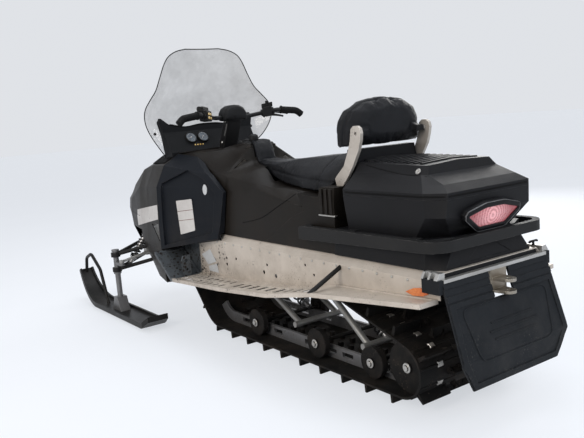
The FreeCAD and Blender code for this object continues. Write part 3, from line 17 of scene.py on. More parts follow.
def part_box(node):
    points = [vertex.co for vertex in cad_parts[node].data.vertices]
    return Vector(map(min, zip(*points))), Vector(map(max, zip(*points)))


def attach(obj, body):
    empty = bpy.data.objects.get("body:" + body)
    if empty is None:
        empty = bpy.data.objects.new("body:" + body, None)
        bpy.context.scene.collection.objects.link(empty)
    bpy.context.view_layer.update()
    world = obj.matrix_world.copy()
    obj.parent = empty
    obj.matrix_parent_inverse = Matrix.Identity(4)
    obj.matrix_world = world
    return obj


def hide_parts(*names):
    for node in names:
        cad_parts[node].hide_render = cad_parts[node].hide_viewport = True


bl_info = {
    "name": "Utility snowmobile looks",
    "version": (1, 0, 0),
    "blender": (4, 5, 0),
    "location": "3D View > Sidebar > Snowmobile",
    "description": "Cushions, screen, lamps, springs, fittings and finishes over the snowmobile's solids",
    "category": "Object",
}

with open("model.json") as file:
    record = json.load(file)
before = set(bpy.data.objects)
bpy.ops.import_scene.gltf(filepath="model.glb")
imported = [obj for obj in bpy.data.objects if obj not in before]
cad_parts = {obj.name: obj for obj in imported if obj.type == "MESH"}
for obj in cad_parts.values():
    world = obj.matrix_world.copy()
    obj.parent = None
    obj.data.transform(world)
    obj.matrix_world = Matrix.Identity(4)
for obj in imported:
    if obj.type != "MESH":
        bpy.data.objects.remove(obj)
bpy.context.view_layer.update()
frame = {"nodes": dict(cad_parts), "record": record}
NODES = frame["nodes"]
SLOT_OF = {row["node"]: row["material_slot"] for row in frame["record"]["subparts"]}
UP = np.array([0.0, 0.0, 1.0])
FORWARD = np.array([1.0, 0.0, 0.0])
FLIP = np.array([1.0, -1.0, 1.0])
SIDES = (1, -1)


# Meshes from arrays

def unit(vectors):
    """Vectors over their lengths, along the last axis."""
    vectors = np.asarray(vectors, float)
    return vectors / np.linalg.norm(vectors, axis=-1, keepdims=True)


def weave(rows, columns, wrap_rows=False, wrap_columns=False):
    """Quads of a grid: (i, j), (i + 1, j), (i + 1, j + 1), (i, j + 1), wrapped where asked."""
    i, j = np.meshgrid(np.arange(rows if wrap_rows else rows - 1),
                       np.arange(columns if wrap_columns else columns - 1), indexing="ij")
    i2, j2 = (i + 1) % rows, (j + 1) % columns
    corners = (i * columns + j, i2 * columns + j, i2 * columns + j2, i * columns + j2)
    return np.stack(corners, -1).reshape(-1, 4)


def closed_tube(rings):
    """Shape from rings (n, m, 3): side quads, and a fan to each end ring's mean point."""
    n, m, _ = rings.shape
    points = np.concatenate([rings.reshape(-1, 3), rings[0].mean(0)[None], rings[-1].mean(0)[None]])
    around = np.arange(m)
    after = (around + 1) % m
    first = np.stack([around, after, np.full(m, n * m)], -1)
    last = np.stack([after + (n - 1) * m, around + (n - 1) * m, np.full(m, n * m + 1)], -1)
    return points, weave(n, m, wrap_columns=True).tolist() + first.tolist() + last.tolist()


def thickened(top, low):
    """Closed sheet from two grids (n, m, 3): both faces, and walls between their edges."""
    rows, columns, _ = top.shape
    count = rows * columns
    edge = np.concatenate([np.arange(rows) * columns, (rows - 1) * columns + np.arange(1, columns),
                           np.arange(rows - 2, -1, -1) * columns + columns - 1,
                           np.arange(columns - 2, 0, -1)])
    after = np.roll(edge, -1)
    grid = weave(rows, columns)
    walls = np.stack([edge, after, after + count, edge + count], -1)
    points = np.concatenate([top.reshape(-1, 3), low.reshape(-1, 3)])
    return points, np.concatenate([grid, grid[:, ::-1] + count, walls]).tolist()


def circling(count):
    """Angles all the way round, as a column (1, n, 1)."""
    return np.linspace(0, 2 * np.pi, count, endpoint=False)[None, :, None]


def tube_rings(path, tangent, radius, sides, up):
    """Rings p(t) + r(t) (cos a s(t) + sin a l(t)), s = tangent x up made unit, l = s x tangent."""
    side = unit(np.cross(tangent, up))
    lift = np.cross(side, tangent)
    a = circling(sides)
    r = np.broadcast_to(np.asarray(radius, float), len(path))[:, None, None]
    return path[:, None] + r * (np.cos(a) * side[:, None] + np.sin(a) * lift[:, None])


def swept(path, radius, sides=12, up=UP):
    """Tube round an open path, its radius one value or one for each point."""
    path = np.asarray(path, float)
    return closed_tube(tube_rings(path, unit(np.gradient(path, axis=0)), radius, sides, up))


def looped(path, radius, sides=8, up=UP):
    """Tube round a closed path."""
    path = np.asarray(path, float)
    tangent = unit(np.roll(path, -1, 0) - np.roll(path, 1, 0))
    rings = tube_rings(path, tangent, radius, sides, up)
    return rings.reshape(-1, 3), weave(len(path), sides, True, True).tolist()


def turned(profile, origin, axis, sides=24):
    """Lathe: o + h k + r (cos a u + sin a v) for each (r, h) of a profile, k the axis, u and v across it."""
    k = unit(axis)
    u = unit(np.cross(k, UP if abs(k[2]) < 0.9 else FORWARD))
    v = np.cross(k, u)
    r, h = np.asarray(profile, float).T
    a = circling(sides)
    ring = np.cos(a) * u + np.sin(a) * v
    return closed_tube(np.asarray(origin, float) + h[:, None, None] * k + r[:, None, None] * ring)


def slab(outline, depth, origin, u, v):
    """Plate: an (a, b) outline laid out as o + a u + b v, and again moved by depth along u x v."""
    u, v = unit(u), unit(v)
    a, b = np.asarray(outline, float).T
    face = np.asarray(origin, float) + a[:, None] * u + b[:, None] * v
    count = len(face)
    around = np.arange(count)
    after = (around + 1) % count
    walls = np.stack([around, after, after + count, around + count], -1).tolist()
    points = np.concatenate([face, face + depth * np.cross(u, v)])
    return points, [around[::-1].tolist(), (around + count).tolist()] + walls


def laid(flat, height, origin, u, v):
    """Places o + a u + b v + h n for rings of (a, b) with one height each, n = u x v."""
    return (np.asarray(origin, float) + flat[:, :, :1] * u + flat[:, :, 1:] * v
            + np.asarray(height, float)[:, None, None] * np.cross(u, v))


def framed(outline, profile, origin, u, v):
    """Frame round a closed outline: each (d, h) of a closed profile goes d outwards and h along u x v."""
    a = np.asarray(outline, float)
    tangent = np.roll(a, -1, 0) - np.roll(a, 1, 0)
    out = unit(np.stack([tangent[:, 1], -tangent[:, 0]], -1))
    if (out * (a - a.mean(0))).sum() < 0:
        out = -out
    d, h = np.asarray(profile, float).T
    points = laid(a[None] + d[:, None, None] * out[None], h, origin, unit(u), unit(v))
    return points.reshape(-1, 3), weave(len(d), len(a), True, True).tolist()


def domed(outline, wall, crown, origin, u, v, levels=8):
    """Crowned lens: o + s (a u + b v) + (w + c (1 - s^2)) n for shares s from 1 down to 0, over a wall w."""
    a = np.asarray(outline, float)
    middle = a.mean(0)
    share = np.concatenate([[1.0], np.cos(np.linspace(0, np.pi / 2, levels))[:-1], [0.04]])
    height = np.concatenate([[0.0], wall + crown * (1 - share[1:] ** 2)])
    flat = middle + share[:, None, None] * (a - middle)[None]
    return closed_tube(laid(flat, height, origin, unit(u), unit(v)))


def joined(shapes):
    """One shape of several, their face numbers moved on by the points before them."""
    points, faces, start = [], [], 0
    for p, f in shapes:
        points.append(p)
        faces += [[i + start for i in face] for face in f]
        start += len(p)
    return np.concatenate(points), faces


def spread(shape, shifts):
    """Copies of a shape at a table of shifts: p + s for each row s."""
    points, faces = shape
    shifts = np.asarray(shifts, float)
    placed = (points[None] + shifts[:, None]).reshape(-1, 3)
    return placed, [[i + n * len(points) for i in face] for n in range(len(shifts)) for face in faces]


def twin(shape):
    """The shape and its mirror: (x, y, z) and (x, -y, z)."""
    points, faces = shape
    return joined([shape, (points * FLIP, [face[::-1] for face in faces])])


def oblong(half, low, high):
    """Four corners (a, b): a from -half to half, b from low to high."""
    return [(-half, low), (half, low), (half, high), (-half, high)]


def circle(radius, count):
    """Closed outline (r cos a, r sin a)."""
    a = circling(count)[0, :, 0]
    return np.stack([radius * np.cos(a), radius * np.sin(a)], -1)


def corner_curve(a, corner, b, t):
    """Curve from a to b that a corner c draws towards it: (1 - t)^2 a + 2 t (1 - t) c + t^2 b."""
    return (1 - t) ** 2 * a + 2 * t * (1 - t) * corner + t ** 2 * b


def rounded(corners, radius, steps=6):
    """Closed outline whose corners become curves between the points at the radius from them."""
    corners = np.asarray(corners, float)
    a = corners + unit(np.roll(corners, 1, 0) - corners) * radius
    b = corners + unit(np.roll(corners, -1, 0) - corners) * radius
    t = np.linspace(0, 1, steps)[None, :, None]
    return corner_curve(a[:, None], corners[:, None], b[:, None], t).reshape(-1, 2)


def bent(points, leg, steps=7):
    """Open path whose corners become curves between the points a leg away from them."""
    p = np.asarray(points, float)
    t = np.linspace(0, 1, steps)[:, None]
    path = [p[:1]]
    for before, corner, ahead in zip(p, p[1:], p[2:]):
        path.append(corner_curve(corner + unit(before - corner) * leg, corner,
                                 corner + unit(ahead - corner) * leg, t))
    return np.concatenate(path + [p[-1:]])


def eased(points, count):
    """Smooth line through points: Catmull-Rom cubics at even steps of the point number."""
    p = np.asarray(points, float)
    p = np.concatenate([2 * p[:1] - p[1:2], p, 2 * p[-1:] - p[-2:-1]])
    s = np.linspace(0, len(p) - 3 - 1e-9, count)
    i = s.astype(int)
    t = (s - i)[:, None]
    a, b, c, d = p[i], p[i + 1], p[i + 2], p[i + 3]
    cubic = (3 * b - a - 3 * c + d) * t ** 3
    return 0.5 * (2 * b + (c - a) * t + (2 * a - 5 * b + 4 * c - d) * t ** 2 + cubic)


def evenly(path, count):
    """The path at even steps of its length, with those lengths."""
    steps = np.linalg.norm(np.diff(path, axis=0), axis=1)
    length = np.concatenate([[0.0], np.cumsum(steps)])
    at = np.linspace(0, length[-1], count)
    return np.stack([np.interp(at, length, path[:, k]) for k in range(3)], -1), at


def screw(at, axis, radius):
    """Domed screw head with a sunk drive, turned round its axis."""
    r = radius
    return turned([(r, -0.001), (r, 0.15 * r), (0.82 * r, 0.4 * r), (0.45 * r, 0.5 * r), (0.4 * r, 0.2 * r),
                   (0.02 * r, 0.2 * r)], at, axis, 14)


def rivets(places, axis, radius):
    """Round heads at a table of places, all turned round one axis."""
    r = radius
    head = turned([(r, -0.0005), (r, 0.12 * r), (0.8 * r, 0.4 * r), (0.4 * r, 0.55 * r), (0.0, 0.6 * r)],
                  (0, 0, 0), axis, 10)
    return spread(head, places)


def surface_of(*names):
    """Search tree over the surfaces of some solids."""
    points, faces = [], []
    for name in names:
        mesh = NODES[name].data
        faces += [[i + len(points) for i in face.vertices] for face in mesh.polygons]
        points += [v.co.copy() for v in mesh.vertices]
    return BVHTree.FromPolygons(points, faces)


def piece(name, shape, finish, stands_for=(), smooth=35.0, bevel=0.0, body="chassis"):
    """New object from a shape, on its body, with its finish."""
    points, faces = shape
    mesh = bpy.data.meshes.new(name)
    mesh.from_pydata(np.asarray(points).tolist(), [], faces)
    work = bmesh.new()
    work.from_mesh(mesh)
    bmesh.ops.remove_doubles(work, verts=work.verts, dist=1e-6)
    bmesh.ops.recalc_face_normals(work, faces=work.faces)
    work.to_mesh(mesh)
    work.free()
    made = bpy.data.objects.new(name, mesh)
    bpy.context.scene.collection.objects.link(made)
    if bevel:
        edge = made.modifiers.new("Soft edge", "BEVEL")
        edge.width = bevel
        edge.segments = 2
        edge.limit_method = "ANGLE"
        edge.harden_normals = False
    if smooth:
        shade(made, smooth)
    mesh.materials.append(FINISHES[finish])
    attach(made, body)
    if stands_for:
        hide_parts(*stands_for)


def shade(made, degrees):
    """Smooth shading, with edges sharper than the angle kept sharp."""
    mesh = made.data
    mesh.polygons.foreach_set("use_smooth", np.ones(len(mesh.polygons), bool))
    mesh.set_sharp_from_angle(angle=math.radians(degrees))


# Shader groups and finishes

def node(tree, kind, inputs=None, **settings):
    """Shader node with its settings, its inputs set to values or joined to sockets."""
    made = tree.nodes.new(kind)
    for key, value in settings.items():
        setattr(made, key, value)
    for key, value in (inputs or {}).items():
        feed(tree, made.inputs[key], value)
    return made


def feed(tree, socket, value):
    """Joins a socket to another one, or sets its own value."""
    if isinstance(value, bpy.types.NodeSocket):
        tree.links.new(value, socket)
    else:
        socket.default_value = value


def math_node(tree, operation, a, b=0.0, clamp=False):
    """Output of a Math node."""
    return node(tree, "ShaderNodeMath", {0: a, 1: b}, operation=operation, use_clamp=clamp).outputs[0]


def times(tree, a, b, clamp=False):
    """Product of two values."""
    return math_node(tree, "MULTIPLY", a, b, clamp)


def plus(tree, a, b, clamp=False):
    """Sum of two values."""
    return math_node(tree, "ADD", a, b, clamp)


def larger(tree, a, b):
    """The larger of two values."""
    return math_node(tree, "MAXIMUM", a, b)


def span(tree, value, low, high, to_low=0.0, to_high=1.0):
    """Output of a clamped Map Range node."""
    made = node(tree, "ShaderNodeMapRange", {"Value": value, "From Min": low, "From Max": high,
                                             "To Min": to_low, "To Max": to_high})
    return made.outputs["Result"]


def blended(tree, factor, first, second):
    """Colour output of a Mix node."""
    first, second = (colour if isinstance(colour, bpy.types.NodeSocket) else (*colour[:3], 1.0)
                     for colour in (first, second))
    return node(tree, "ShaderNodeMix", {0: factor, 6: first, 7: second}, data_type="RGBA").outputs[2]


def group(name, inputs, outputs):
    """Empty shader group with its sockets: the tree, its inputs and a function that joins an output."""
    tree = bpy.data.node_groups.new(name, "ShaderNodeTree")
    for label, kind, default in inputs:
        tree.interface.new_socket(label, in_out="INPUT", socket_type=kind).default_value = default
    for label, kind in outputs:
        tree.interface.new_socket(label, in_out="OUTPUT", socket_type=kind)
    enter = tree.nodes.new("NodeGroupInput").outputs
    leave = tree.nodes.new("NodeGroupOutput").inputs
    return tree, enter, lambda label, socket: tree.links.new(socket, leave[label])


def place(tree, name, **values):
    """Outputs of a shader group placed in a material."""
    made = tree.nodes.new("ShaderNodeGroup")
    made.node_tree = bpy.data.node_groups[name]
    for key, value in values.items():
        feed(tree, made.inputs[key], value)
    return made.outputs


def object_space(tree):
    """The surface's place in the solids' frame."""
    return node(tree, "ShaderNodeTexCoord").outputs["Object"]


def noise(tree, vector, scale, detail=3.0, rough=0.55):
    """Value of a Noise Texture node."""
    made = node(tree, "ShaderNodeTexNoise", {"Vector": vector, "Scale": scale, "Detail": detail,
                                             "Roughness": rough})
    return made.outputs["Fac"]


def cells(tree, vector, scale, feature="F1"):
    """Distance from a Voronoi Texture node."""
    made = node(tree, "ShaderNodeTexVoronoi", {"Vector": vector, "Scale": scale}, feature=feature)
    return made.outputs["Distance"]


def scaled(tree, vector, factors):
    """Vector through a Mapping node."""
    return node(tree, "ShaderNodeMapping", {"Vector": vector, "Scale": factors}).outputs[0]


def along(tree, where, axis):
    """One of a place's three values."""
    return node(tree, "ShaderNodeSeparateXYZ", {0: where}).outputs[axis]


FLOAT = "NodeSocketFloat"
# Where the mud spray gives way to the painted shade of the footwell's dark wall: the length along X that this
# takes
SHADE_EDGE = 0.015
# Colours of mud and of the cushions' dust
MUD = (0.020, 0.015, 0.012)
DUST = (0.030, 0.031, 0.035)
# Width of the edges that are rounded and rubbed, and the roughness that full dirt adds
EDGE_WIDTH = 0.0022
DIRT_ROUGH = 0.3
# How far the roughness falls below its row's value and rises over it
GLOSSIER = 0.07
DULLER = 0.09


def grain_group():
    """Moulded or cast skin: fine pebbles for the height, and slow clouds for the colour."""
    tree, enter, leave = group("Skin grain", [("Scale", FLOAT, 900.0)],
                               [("Height", FLOAT), ("Clouds", FLOAT)])
    where = object_space(tree)
    pebbles = span(tree, cells(tree, where, enter["Scale"]), 0.0, 0.8)
    fine = noise(tree, where, times(tree, enter["Scale"], 0.6))
    leave("Height", plus(tree, pebbles, fine))
    leave("Clouds", span(tree, noise(tree, where, 5.0, 6.0, 0.65), 0.32, 0.68))


def edge_group():
    """Rounded and rubbed edges: the bevelled normal, and a mask where it leaves the flat normal."""
    tree, enter, leave = group("Rubbed edges", [("Width", FLOAT, 0.002), ("Amount", FLOAT, 0.5)],
                               [("Normal", "NodeSocketVector"), ("Mask", FLOAT)])
    soft = node(tree, "ShaderNodeBevel", {"Radius": enter["Width"]}, samples=4).outputs[0]
    flat = node(tree, "ShaderNodeNewGeometry").outputs["Normal"]
    turn = node(tree, "ShaderNodeVectorMath", {0: soft, 1: flat}, operation="DOT_PRODUCT").outputs["Value"]
    edge = span(tree, turn, 0.995, 0.86)
    patchy = span(tree, noise(tree, object_space(tree), 38.0, 5.0), 0.42, 0.62)
    leave("Normal", soft)
    leave("Mask", times(tree, times(tree, edge, patchy), enter["Amount"], clamp=True))


def dirt_group():
    """Road dirt: clouds and splashes that thin out from a low height to a high one."""
    tree, enter, leave = group("Road dirt", [("Amount", FLOAT, 0.5), ("Low", FLOAT, 0.3),
                                             ("High", FLOAT, 0.7)], [("Mask", FLOAT)])
    where = object_space(tree)
    fall = span(tree, along(tree, where, "Z"), enter["Low"], enter["High"], 1.0, 0.0)
    cloud = span(tree, noise(tree, where, 7.0, 8.0, 0.7), 0.45, 0.75)
    drops = span(tree, cells(tree, where, 55.0), 0.22, 0.12)
    some = span(tree, noise(tree, where, 9.0, 2.0), 0.5, 0.58)
    small = span(tree, cells(tree, scaled(tree, where, (1.0, 1.0, 0.8)), 140.0), 0.26, 0.14)
    splash = times(tree, larger(tree, drops, small), some)
    both = larger(tree, times(tree, cloud, 0.6), splash)
    leave("Mask", times(tree, times(tree, both, fall), enter["Amount"], clamp=True))


def spray_and_shade_group():
    """Dark blots and crumbs of mud that thicken along X from a back line to a front line, and a painted shade
    mask that rises just ahead of the front line, where the footwell's wall lies in shade.
    """
    tree, enter, leave = group("Mud spray and painted shade", [("Back", FLOAT, -0.1), ("Front", FLOAT, 0.3)],
                               [("Mask", FLOAT), ("Painted shade", FLOAT)])
    where = object_space(tree)
    x = along(tree, where, "X")
    near = span(tree, x, enter["Back"], enter["Front"])
    blots = span(tree, cells(tree, where, 46.0), 0.34, 0.26)
    crumbs = span(tree, noise(tree, where, 90.0, 6.0, 0.8), 0.54, 0.60)
    crowd = plus(tree, noise(tree, where, 13.0, 4.0, 0.6), times(tree, near, 0.26))
    some = span(tree, crowd, 0.66, 0.78)
    leave("Mask", times(tree, larger(tree, blots, crumbs), some, clamp=True))
    # Painted shade: 0 behind the front line, rising to 1 over a short length ahead of it, where the
    # footwell's wall lies in shade
    leave("Painted shade", span(tree, x, enter["Front"], plus(tree, enter["Front"], SHADE_EDGE)))


def brushed_group():
    """Drawn metal: noise stretched along X, for the height and the gloss."""
    tree, enter, leave = group("Drawn lines", [("Scale", FLOAT, 60.0)], [("Lines", FLOAT)])
    stretched = scaled(tree, object_space(tree), (0.06, 1.0, 1.0))
    leave("Lines", noise(tree, stretched, enter["Scale"], 6.0, 0.7))


def leather_group():
    """Vinyl: creased cells of two sizes for the height."""
    tree, enter, leave = group("Vinyl creases", [("Scale", FLOAT, 420.0)],
                               [("Height", FLOAT), ("Clouds", FLOAT)])
    where = object_space(tree)
    fine = cells(tree, where, enter["Scale"], "DISTANCE_TO_EDGE")
    coarse = cells(tree, where, times(tree, enter["Scale"], 0.45), "DISTANCE_TO_EDGE")
    height = plus(tree, span(tree, fine, 0.0, 0.12), span(tree, coarse, 0.0, 0.1))
    leave("Height", height)
    leave("Clouds", span(tree, noise(tree, where, 9.0, 5.0), 0.35, 0.65))


FINISHES = {}
# Tail lamp's rings: radians in each metre, and how far the light tone reaches
RING_RATE = 520.0
RING_REACH = 0.105
# One finish in each line: its name, three numbers each for colour, second colour, edge colour and dirt
# colour, then roughness, metallic, specular level, grain scale, bump depth in mm, edge wear, dirt amount,
# and the low and the high z between which the dirt thins out
TABLE = """
body_black .0074 .0062 .0053 .0128 .0106 .0088 .1 .09 .08 .12 .09 .06 .4 0 .12 900 .1 .5 .1 .35 .95
shield_plastic .0058 .0072 .0105 .0095 .0115 .0155 .08 .075 .065 .14 .11 .08 .48 0 .1 900 .14 .7 .25 .3 .75
moulding_black .0058 .0059 .0068 .01 .0102 .012 .09 .09 .09 .11 .09 .07 .44 0 .14 1100 .16 .5 .08 .4 .8
dash_black .005 .0055 .0065 .009 .0095 .011 .06 .06 .06 .1 .09 .08 .55 0 .1 1200 .16 .4 0 .4 .8
aluminium_sheet .64 .58 .515 .52 .465 .405 .75 .72 .66 .085 .055 .035 .42 .35 .4 260 .06 .4 .95 .28 .62
frame_alloy .52 .52 .51 .4 .39 .37 .75 .75 .74 .1 .08 .06 .38 .75 .5 500 .1 .5 .5 .2 .6
cast_silver .6 .56 .51 .46 .42 .38 .72 .7 .66 .1 .08 .06 .45 .45 .4 420 .18 .5 .9 .75 1.1
rail_alloy .25 .25 .26 .17 .17 .175 .5 .5 .5 .09 .07 .05 .42 .7 .5 320 .08 .6 .8 0 .5
spindle_alloy .22 .22 .225 .15 .15 .155 .5 .5 .5 .1 .08 .06 .45 .6 .5 420 .12 .6 .5 0 .5
black_steel .009 .009 .0095 .0165 .0165 .017 .28 .27 .26 .12 .09 .07 .55 0 .2 1300 .1 .45 .2 .1 .6
arm_steel .36 .36 .355 .26 .26 .255 .5 .5 .5 .1 .08 .06 .4 .3 .5 700 .06 .5 .8 0 .5
bar_steel .0085 .0085 .009 .014 .014 .0145 .2 .2 .2 .1 .09 .08 .32 0 .2 1300 .06 .3 0 .4 .8
shock_steel .34 .34 .345 .24 .24 .245 .6 .6 .6 .1 .08 .06 .32 .6 .5 700 .05 .5 .5 0 .5
axle_steel .36 .36 .365 .25 .25 .255 .6 .6 .6 .12 .07 .04 .3 .9 .5 500 .05 .5 .6 0 .5
hitch_steel .38 .36 .32 .24 .2 .15 .8 .75 .6 .16 .07 .03 .34 .8 .5 420 .1 .8 .6 .3 .6
engine_iron .055 .055 .058 .035 .035 .037 .2 .2 .2 .06 .045 .03 .6 .4 .5 260 .3 .6 .5 .3 .6
track_rubber .0062 .0062 .0066 .012 .0116 .0112 .06 .055 .05 .13 .1 .08 .7 0 .12 380 .35 .7 .45 -.05 .6
flap_rubber .008 .0095 .0118 .015 .0172 .0205 .07 .07 .07 .14 .13 .12 .6 0 .14 420 .3 .7 .35 .1 .6
grip_rubber .006 .006 .0064 .0105 .0105 .0108 .05 .05 .05 .1 .09 .08 .64 0 .1 900 .2 .5 0 .4 .8
wheel_black .0095 .0095 .01 .017 .0165 .016 .12 .12 .12 .13 .1 .08 .52 0 .14 600 .2 .6 .5 0 .5
ski_plastic .0072 .0072 .0076 .0135 .013 .0126 .07 .07 .07 .13 .12 .11 .36 0 .16 500 .08 .7 .25 0 .3
control_black .0068 .0068 .0072 .012 .012 .0124 .08 .08 .08 .1 .09 .08 .46 0 .14 1300 .14 .4 0 .4 .8
zinc .55 .54 .52 .38 .36 .33 .8 .8 .8 .1 .07 .05 .3 .95 .5 700 .05 .4 .3 0 .6
plate_white .62 .61 .6 .5 .48 .47 .4 .38 .36 .14 .11 .09 .4 0 .4 900 .03 .7 .5 .3 1
plate_silver .62 .64 .66 .5 .52 .54 .6 .6 .6 .14 .11 .09 .42 .15 .4 900 .03 .5 .5 .3 .6
seam_dark .0035 .0035 .0038 .006 .006 .0063 .03 .03 .03 .1 .09 .08 .6 0 .08 900 .05 .3 0 .4 .8
line_red .16 .045 .032 .11 .035 .028 .2 .15 .12 .1 .09 .08 .5 0 .3 900 .02 .3 .3 .3 1
"""
# Mud on a finish, and painted shade: x where the spray starts, x where it is thickest, and the colour painted
# as shade on the footwell's dark wall ahead of that
SPRAY_AND_SHADE = {"aluminium_sheet": (-0.25, 0.215, (0.075, 0.085, 0.095)), "cast_silver": (-1.15, -0.35, None)}
# Finishes with drawn lines, and the lines' scale
PATTERNED = ("aluminium_sheet", "rail_alloy", "axle_steel", "zinc")
LINE_SCALE = 260.0
# Middle of the tail lamp's rings
LAMP_RINGS = (-1.455, 0.010, 0.708)


def base_material(name, rough, metallic=0.0, specular=0.5):
    """New material and its Principled shader with the plain values set on its own sockets."""
    made = bpy.data.materials.new(name)
    made.use_nodes = True
    shader = made.node_tree.nodes["Principled BSDF"]
    shader.inputs["Roughness"].default_value = rough
    shader.inputs["Metallic"].default_value = metallic
    shader.inputs["Specular IOR Level"].default_value = specular
    FINISHES[name] = made
    return made.node_tree, shader


def bump(tree, shader, height, depth, normal=None):
    """Bump node that feeds the shader's normal, its depth in millimetres."""
    made = node(tree, "ShaderNodeBump", {"Height": height, "Distance": depth / 1000.0, "Strength": 0.8})
    if normal is not None:
        tree.links.new(normal, made.inputs["Normal"])
    tree.links.new(made.outputs[0], shader.inputs["Normal"])


def plain_finish(name, row):
    """Painted, moulded or metal finish from its table row."""
    colour, second, rubbed, soil = (row[k:k + 3] for k in (0, 3, 6, 9))
    rough, metallic, specular, scale, depth, wear, amount, low, high = row[12:]
    tree, shader = base_material(name, rough, metallic, specular)
    grain = place(tree, "Skin grain", Scale=scale)
    edge = place(tree, "Rubbed edges", Width=EDGE_WIDTH, Amount=wear)
    dirt = place(tree, "Road dirt", Amount=amount, Low=low, High=high)
    skin = blended(tree, grain["Clouds"], colour, second)
    height = grain["Height"]
    gloss = grain["Clouds"]
    if name in PATTERNED:
        lines = place(tree, "Drawn lines", Scale=LINE_SCALE)["Lines"]
        height = plus(tree, height, lines)
        gloss = lines
    skin = blended(tree, edge["Mask"], skin, rubbed)
    skin = blended(tree, dirt["Mask"], skin, soil)
    if name in SPRAY_AND_SHADE:
        back, front, wall = SPRAY_AND_SHADE[name]
        spray = place(tree, "Mud spray and painted shade", Back=back, Front=front)
        # Painted shade: ahead of the front line the sheet turns to the dark wall colour, for the shade in the
        # footwell
        if wall:
            skin = blended(tree, spray["Painted shade"], skin, wall)
        skin = blended(tree, spray["Mask"], skin, MUD)
    tree.links.new(skin, shader.inputs["Base Color"])
    sheen = span(tree, gloss, 0.0, 1.0, rough - GLOSSIER, rough + DULLER)
    tree.links.new(plus(tree, sheen, times(tree, dirt["Mask"], DIRT_ROUGH), clamp=True),
                   shader.inputs["Roughness"])
    bump(tree, shader, height, depth, edge["Normal"])


def vinyl_finish(name, colour, second, rough, scale, depth):
    """Coated cloth for cushions: creased cells, cloudy colour and a thin dusty film."""
    tree, shader = base_material(name, rough, 0.0, 0.16)
    skin = place(tree, "Vinyl creases", Scale=scale)
    film = span(tree, noise(tree, object_space(tree), 24.0, 7.0, 0.7), 0.5, 0.8)
    tone = blended(tree, skin["Clouds"], colour, second)
    tree.links.new(blended(tree, times(tree, film, 0.35), tone, DUST),
                   shader.inputs["Base Color"])
    tree.links.new(span(tree, skin["Clouds"], 0.0, 1.0, rough - 0.06, rough + 0.1),
                   shader.inputs["Roughness"])
    bump(tree, shader, skin["Height"], depth)


def clear_finish(name, tint, alpha_low, alpha_high, rough):
    """Clear plastic: mostly see-through, with hazy smears and specks that show."""
    tree, shader = base_material(name, rough, 0.0, 0.6)
    where = object_space(tree)
    haze = span(tree, noise(tree, where, 6.0, 8.0, 0.7), 0.35, 0.8)
    specks = span(tree, cells(tree, where, 160.0), 0.16, 0.08)
    rare = span(tree, noise(tree, where, 14.0, 2.0), 0.5, 0.6)
    dots = times(tree, specks, rare)
    tree.links.new(blended(tree, dots, tint, (0.5, 0.48, 0.45)), shader.inputs["Base Color"])
    cover = span(tree, haze, 0.0, 1.0, alpha_low, alpha_high)
    tree.links.new(larger(tree, cover, times(tree, dots, 0.8)), shader.inputs["Alpha"])
    bump(tree, shader, haze, 0.2)


def lens_finish(name, dark, light, scale, glow, centre=None):
    """Lamp lens: prism cells in two tones under a glossy skin, lit a little by itself. With a centre, rings
    run round it and the light tone fades away from it."""
    tree, shader = base_material(name, 0.12, 0.0, 0.6)
    where = object_space(tree)
    prisms = span(tree, cells(tree, where, scale), 0.1, 0.7)
    share = times(tree, prisms, span(tree, noise(tree, where, 30.0, 4.0), 0.35, 0.65))
    if centre:
        away = node(tree, "ShaderNodeVectorMath", {0: where, 1: centre},
                    operation="DISTANCE").outputs["Value"]
        rings = math_node(tree, "SINE", times(tree, away, RING_RATE))
        lit = span(tree, away, RING_REACH, 0.0)
        share = times(tree, lit, span(tree, plus(tree, rings, prisms), -0.8, 1.6, 0.35, 1.0))
    tone = blended(tree, share, dark, light)
    tree.links.new(tone, shader.inputs["Base Color"])
    tree.links.new(tone, shader.inputs["Emission Color"])
    shader.inputs["Emission Strength"].default_value = glow
    shader.inputs["Coat Weight"].default_value = 0.6
    bump(tree, shader, prisms, 0.6)


def make_finishes():
    """Builds the shared groups once, and every finish from them."""
    for build in (grain_group, edge_group, dirt_group, spray_and_shade_group, brushed_group, leather_group):
        build()
    for line in TABLE.split("\n")[1:-1]:
        name, *numbers = line.split()
        plain_finish(name, [float(number) for number in numbers])
    looks = bpy.context.scene.sled_looks
    vinyl_finish("seat_vinyl", looks.vinyl, (0.0125, 0.0133, 0.0160), 0.42, 520.0, 0.35)
    vinyl_finish("pad_foam", (0.0068, 0.0070, 0.0076), (0.0115, 0.0118, 0.0128), 0.5, 700.0, 0.3)
    clear_finish("screen", looks.screen, 0.16, 0.36, 0.06)
    clear_finish("lamp_clear", (0.85, 0.87, 0.9), 0.25, 0.45, 0.05)
    lens_finish("lamp_red", looks.tail_lamp, (1.0, 0.50, 0.52), 260.0, 0.16, LAMP_RINGS)
    # The side reflectors' small glow is painted light: a reflector is no lamp
    lens_finish("reflector_orange", looks.reflector, (0.85, 0.30, 0.08), 420.0, 0.05)
    lens_finish("gauge_face", (0.018, 0.028, 0.045), (0.075, 0.105, 0.135), 300.0, 0.0)
    lens_finish("mirror_bowl", (0.5, 0.5, 0.5), (0.9, 0.9, 0.9), 160.0, 0.0)
    # The small glow of this finish is painted light on the handlebar's switch buttons, which are no lamps;
    # the dash's lamps share the finish
    lens_finish("button_amber", (0.55, 0.33, 0.08), (0.9, 0.68, 0.28), 600.0, 0.1)
    for name, made in NODES.items():
        made.data.materials.clear()
        made.data.materials.append(FINISHES[SLOT_OF[name]])


# User's values

